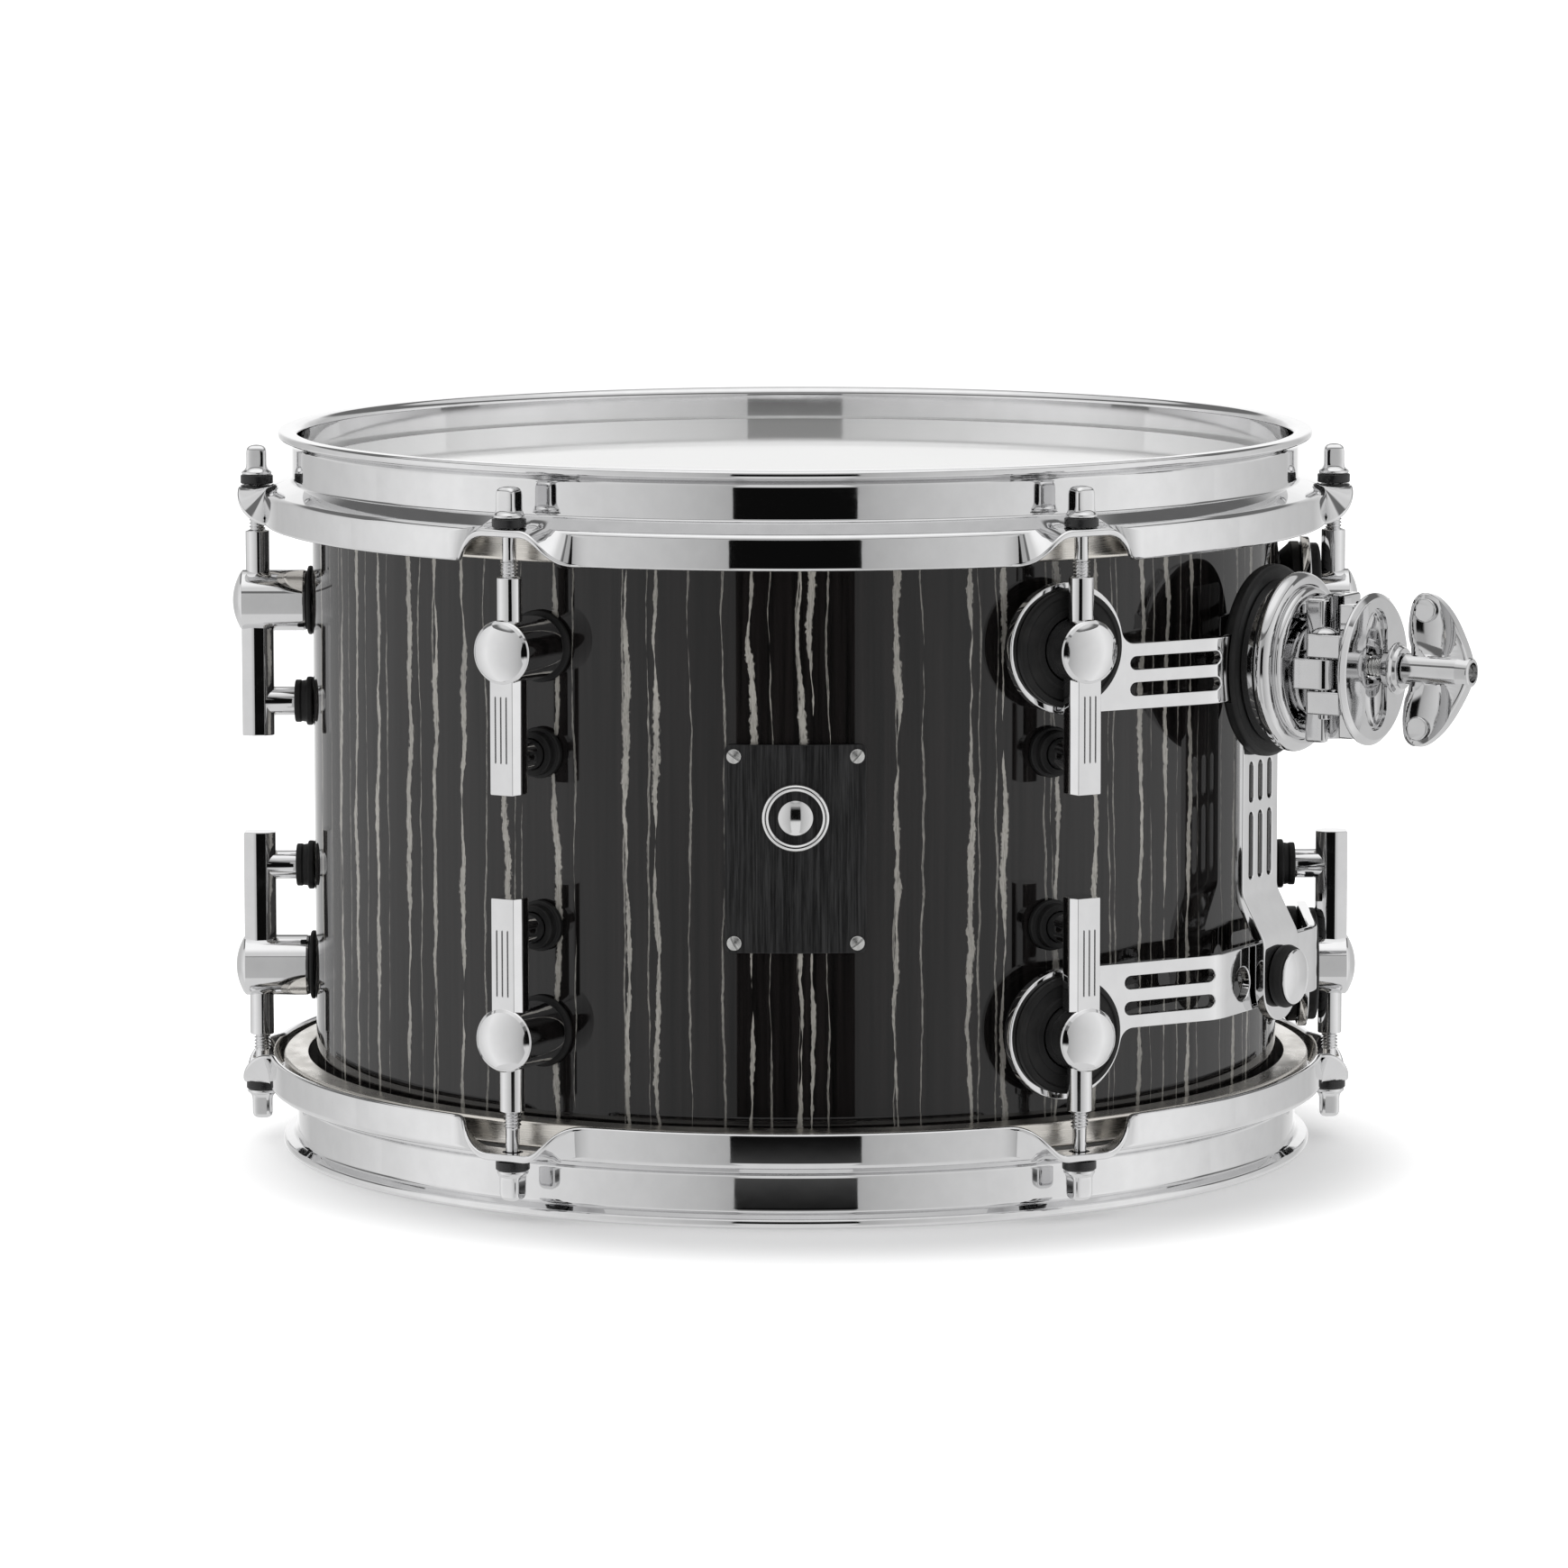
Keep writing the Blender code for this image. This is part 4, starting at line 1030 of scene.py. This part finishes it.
def make_clamp_block():
    """Fixed half of the clamp: ribbed cheeks with a half-round channel, and the middle knuckle."""
    cheek = upright(soft(oblong(-9.6, 184.0, 16.0, 190.8, 1.2), closed=True), -22, 22, 0.9)
    boss = soft([(0, 178.3), (16.4, 178.3), (16.4, 185.0), (0, 185.0)])
    ear = [(-9.0, 184.3), (-9.0, 190.6), (PIN_X + KNUCKLE_R, 190.9)]
    ear += arc(PIN_X, PIN_R, KNUCKLE_R, 0, 180, 24)
    ear += soft([(PIN_X - KNUCKLE_R, 190.0), (PIN_X - KNUCKLE_R, 184.3, 1.0), (-10.0, 184.3)])
    joined = [turned_out(boss, 72, z=CLAMP_Z), upright(ear, -4.7, 4.7, 0.5)]
    cut = [bar(CHANNEL_X, CHANNEL_R, CHANNEL_HOLE_R, -30, 30, 64), bar(PIN_X, PIN_R, 2.0, -8, 8),
           turned_out([(4.0, 180.0), (4.0, 200.0)], 40, x=BOLT_X, z=CLAMP_Z)]
    for x in (-6.6, 6.2, 12.4):
        groove = [(x - 1.0, 180.0), (x + 1.0, 180.0), (x + 1.0, 188.6), (x - 1.0, 188.6)]
        cut += [upright(groove, low, high, 0.1) for low, high in ((-30, -13), (13, 30))]
    on_mount("clamp_cheek", combined("clamp_cheek", cheek, joined, cut), "clamp", ["clamp_block"])


def make_clamp_jaw():
    """Hinged jaw: a round cap with a smooth rim and a dished oval, on a grooved body with knuckles."""
    cap = soft([(0, 199.2), (21.6, 199.2, 0.6), (23.3, 200.3, 1.4), (23.3, 201.0, 1.4),
                (21.7, 202.4, 1.2), (0, 202.4)], steps=8)
    body = soft([(-8.0, 194.6, 0.8), (17.5, 194.6, 0.8), (17.5, 199.8, 0.6), (-8.0, 199.8, 0.6)],
                closed=True)
    joined = [upright(body, -20.5, 20.5, 0.7)]
    near, far = PIN_X - KNUCKLE_R, PIN_X + KNUCKLE_R
    for low, high in ((5.1, 12.2), (-12.2, -5.1)):
        outline = soft([(near, PIN_R - KNUCKLE_R, 1.0), (PIN_X - 0.5, PIN_R - KNUCKLE_R, 1.5),
                        (far, PIN_R - 1.2, 1.5), (far, 200.0), (near, 200.0)], closed=True)
        joined.append(upright(outline, low, high, 0.6))
    oval_x = 2.6
    bowl = moved(ball((7.4, 5.2, 18.2), 56, 36), oval_x, -202.6, CLAMP_Z)
    oval = stood(slab(slot(oval_x, CLAMP_Z, 37.4, 15.0, upright=True, steps=24), thickness=3.0,
                      edge=0.3), out=201.2)
    hole = stood(slab(slot(BOLT_X + 1.2, CLAMP_Z, 11.0, 8.0), thickness=25.0, edge=0.05), out=190.0)
    cut = [oval, bowl, hole, bar(CHANNEL_X, CHANNEL_R, CHANNEL_HOLE_R, -30, 30, 64),
           bar(PIN_X, PIN_R, 2.0, -20, 20)]
    mesh = combined("jaw_cap", turned_out(cap, 112, x=3.0, z=CLAMP_Z), joined, cut)
    on_mount("jaw_cap", mesh, "clamp", ["clamp_jaw"], "jaw")


def make_clamp_fasteners():
    """Hinge pin with a domed head, the threaded clamp bolt, and the stepped washer on it."""
    pin = soft([(0, -13.9), (1.8, -13.9, 0.3), (1.8, 12.4), (4.1, 12.4, 0.2), (4.1, 12.7, 0.3)],
               steps=3)
    pin += arc(0, 14.2 - 6.4, 6.4, 52, 90, 8)
    on_mount("jaw_pin", moved(turned(pin, 36), PIN_X, -PIN_R, CLAMP_Z), "clamp", ["hinge_pin"])
    bolt = stood(loft(bmesh.new(), thread_rings(2.5, 2.95, 180.4, 227.6)), BOLT_X, z=CLAMP_Z)
    on_mount("threaded_bolt", bolt, "steel", ["clamp_bolt"])
    washer = [(3.2, 202.8, 0.2), (5.4, 202.8, 0.6), (6.2, 205.6, 1.0), (7.9, 205.9, 0.4),
              (8.0, 206.9, 0.5), (6.9, 207.5, 0.6), (6.3, 208.7, 0.5), (3.2, 209.0, 0.3)]
    on_mount("seat_washer", ring_out(washer, 56, BOLT_X, CLAMP_Z), "clamp", ["clamp_washer"], "washer")


WING_TIP_R = 231.6
WING_HALF = ((230.4, 4.6), (227.4, 11.2), (223.4, 17.6), (218.6, 22.1), (214.4, 23.4), (211.3, 21.0),
             (210.2, 15.6), (210.4, 9.8), (211.6, 5.2))


def flat_wing(outline, thickness, edge):
    """A slab standing in the plane of the bolt's axis, in (distance out, height)."""
    bm = slab(outline, (), thickness, edge)
    for vert in bm.verts:
        vert.co = (BOLT_X + vert.co.z - thickness / 2, -vert.co.x, CLAMP_Z + vert.co.y)
    return bm


def dished(height, side):
    """A long ball that hollows one face of a wing."""
    bm = ball((3.9, 8.6, 12.6), 40, 28)
    lean = math.radians(-12 if height > 0 else 12)
    bmesh.ops.rotate(bm, cent=(0, 0, 0), matrix=Matrix.Rotation(lean, 3, "X"), verts=bm.verts)
    return moved(bm, BOLT_X + side * 5.0, -219.2, CLAMP_Z + height)


def make_wing_nut():
    """Cast wing nut: thick rims round dished webs, a barrel with a through hole, two small bosses."""
    lower = [(out, -height) for out, height in reversed(WING_HALF)]
    outline = flowing([(WING_TIP_R - 0.4, 0.0)] + list(WING_HALF) + lower, 5)
    barrel = soft([(0, 209.3), (4.9, 209.3, 0.6), (4.9, 227.5, 3.0), (4.4, WING_TIP_R, 0.8),
                   (0, WING_TIP_R)])
    hollows = [dished(height, side) for height in (-13.4, 13.4) for side in (-1, 1)]
    plate = combined("wing_plate", flat_wing(outline, 6.0, 1.1), cut=hollows)
    joined = [turned_out(barrel, 64, x=BOLT_X, z=CLAMP_Z)]
    joined += [flat_wing(circle(215.2, height, 3.7, 48), 5.4, 0.5) for height in (-18.0, 18.0)]
    bore = turned_out([(3.1, 200.0), (3.1, 240.0)], 40, x=BOLT_X, z=CLAMP_Z)
    mesh = combined("wing_casting", plate, joined, [bore])
    axis = Matrix.Translation((BOLT_X * MM, 0, CLAMP_Z * MM))
    mesh.transform(axis @ Matrix.Rotation(WING_REST, 4, "Y") @ axis.inverted())
    on_mount("wing_casting", mesh, "clamp", ["wing_nut"], "wing_nut")


# ---------------------------------------------------------------- studio
def make_camera():
    """Long lens from the front, a little above the drum."""
    data = bpy.data.cameras.new("camera")
    data.lens = 178.37
    data.sensor_width = 36.0
    data.clip_end = 50.0
    camera = linked("camera", data)
    pitch, yaw, roll = 0.1285, 0.0015, -0.0014
    camera.matrix_world = (Matrix.Translation((0, -2.4449, 0.3153 + MID))
                           @ Matrix.Rotation(yaw, 4, "Z")
                           @ Matrix.Rotation(math.pi / 2 - pitch, 4, "X")
                           @ Matrix.Rotation(roll, 4, "Z"))
    bpy.context.scene.camera = camera


def make_floor():
    """Floor just under the lower rim, out of reflections."""
    bm = bmesh.new()
    bmesh.ops.create_grid(bm, x_segments=8, y_segments=8, size=20.0)
    mesh = plain_mesh("studio_floor", bm)
    mesh.materials.append(floor_look())
    floor = linked("studio_floor", mesh)
    floor.location = (0, 0, RIM_BOTTOM - 0.0004)
    floor.visible_glossy = False


TENT_R = 0.8
TENT_FOOT = -0.7          # heights over the floor
TENT_TOP = 0.62
SLIT_TOP = 0.45
SLIT = 12.4                # half width of the opening in the tent, in degrees round it
TENT_END = 100.0
# brightness of the tent by angle from its opening, and of the room beyond it, in degrees
TENT_RING = ((SLIT, 0.46), (18, 0.54), (24, 0.60), (34, 0.68), (55, 0.84), (76, 0.97), (90, 0.86),
             (TENT_END, 0.76))
ROOM_RING = ((0, 0.004), (24, 0.004), (34, 0.7), (80, 0.95), (100, 0.84), (125, 0.64), (150, 0.54),
             (163, 0.75), (170, 1.0), (180, 1.0))
# grey level, and the heights of a direction between which it comes in: the gap between the tent and
# the overhead cloth, the cloth's edge, its middle, and everything under the horizon
SKY_LEVELS = ((0.16, 0.30, 0.40), (0.72, 0.60, 0.66), (1.1, 0.76, 0.95), (0.72, -0.16, -0.32))


def make_tent():
    """Translucent screens on both sides of the lens, open between them; out of the camera's sight."""
    bm = bmesh.new()
    for side in (-1, 1):
        for first, last, low, high in ((SLIT, TENT_END, TENT_FOOT, TENT_TOP),
                                       (0.0, SLIT, SLIT_TOP, TENT_TOP)):
            steps = 24
            rings = []
            for i in range(steps + 1):
                angle = side * math.radians(first + (last - first) * i / steps)
                rings.append([bm.verts.new((TENT_R * math.sin(angle), -TENT_R * math.cos(angle), z))
                              for z in (RIM_BOTTOM + low, RIM_BOTTOM + high)])
            for near, far in zip(rings, rings[1:]):
                bm.faces.new((near[0], far[0], far[1], near[1]))
    mat = bpy.data.materials.new("tent_cloth")
    mat.use_nodes = True
    graph = Graph(mat.node_tree)
    graph.nodes.clear()
    angle, _ = graph.polar(graph.node("ShaderNodeTexCoord").outputs["Object"])
    cloth = graph.node("ShaderNodeEmission")
    graph.links.new(graph.ring_level(angle, TENT_RING), cloth.inputs["Color"])
    graph.links.new(cloth.outputs[0], graph.node("ShaderNodeOutputMaterial").inputs[0])
    mesh = plain_mesh("light_tent", bm)
    mesh.materials.append(mat)
    tent = linked("light_tent", mesh)
    tent.visible_camera = False


def make_world():
    """White studio beyond the tent: soft walls, a dark gap over the tent, bright cloth overhead."""
    world = bpy.data.worlds.new("studio")
    bpy.context.scene.world = world
    world.use_nodes = True
    graph = Graph(world.node_tree)
    graph.nodes.clear()
    angle, height = graph.polar(graph.node("ShaderNodeTexCoord").outputs["Generated"])
    sky = graph.ring_level(angle, ROOM_RING)
    for level, low, high in SKY_LEVELS:
        sky = graph.mix(graph.fit(height, low, high, 0.0, 1.0, True), sky, (level, level, level))
    lit, seen = graph.node("ShaderNodeBackground"), graph.node("ShaderNodeBackground")
    graph.links.new(sky, lit.inputs["Color"])
    lit.inputs["Strength"].default_value = 1.05
    seen.inputs["Color"].default_value = (1, 1, 1, 1)
    choose = graph.node("ShaderNodeMixShader")
    by_camera = graph.node("ShaderNodeLightPath").outputs["Is Camera Ray"]
    for socket, source in zip(choose.inputs, (by_camera, lit.outputs[0], seen.outputs[0])):
        graph.links.new(source, socket)
    graph.links.new(choose.outputs[0], graph.node("ShaderNodeOutputWorld").inputs[0])


def make_studio():
    bpy.context.scene.view_settings.view_transform = "Standard"
    make_camera()
    make_world()
    make_tent()
    make_floor()


for make in (make_studio, make_shell, make_vent_grommet, make_heads, make_hoops, make_rods, make_lugs,
             make_badge, make_arms, make_strut, make_isolators, make_tab_fastener, make_mount_base,
             make_clamp_block, make_clamp_jaw, make_clamp_fasteners, make_wing_nut):
    make()
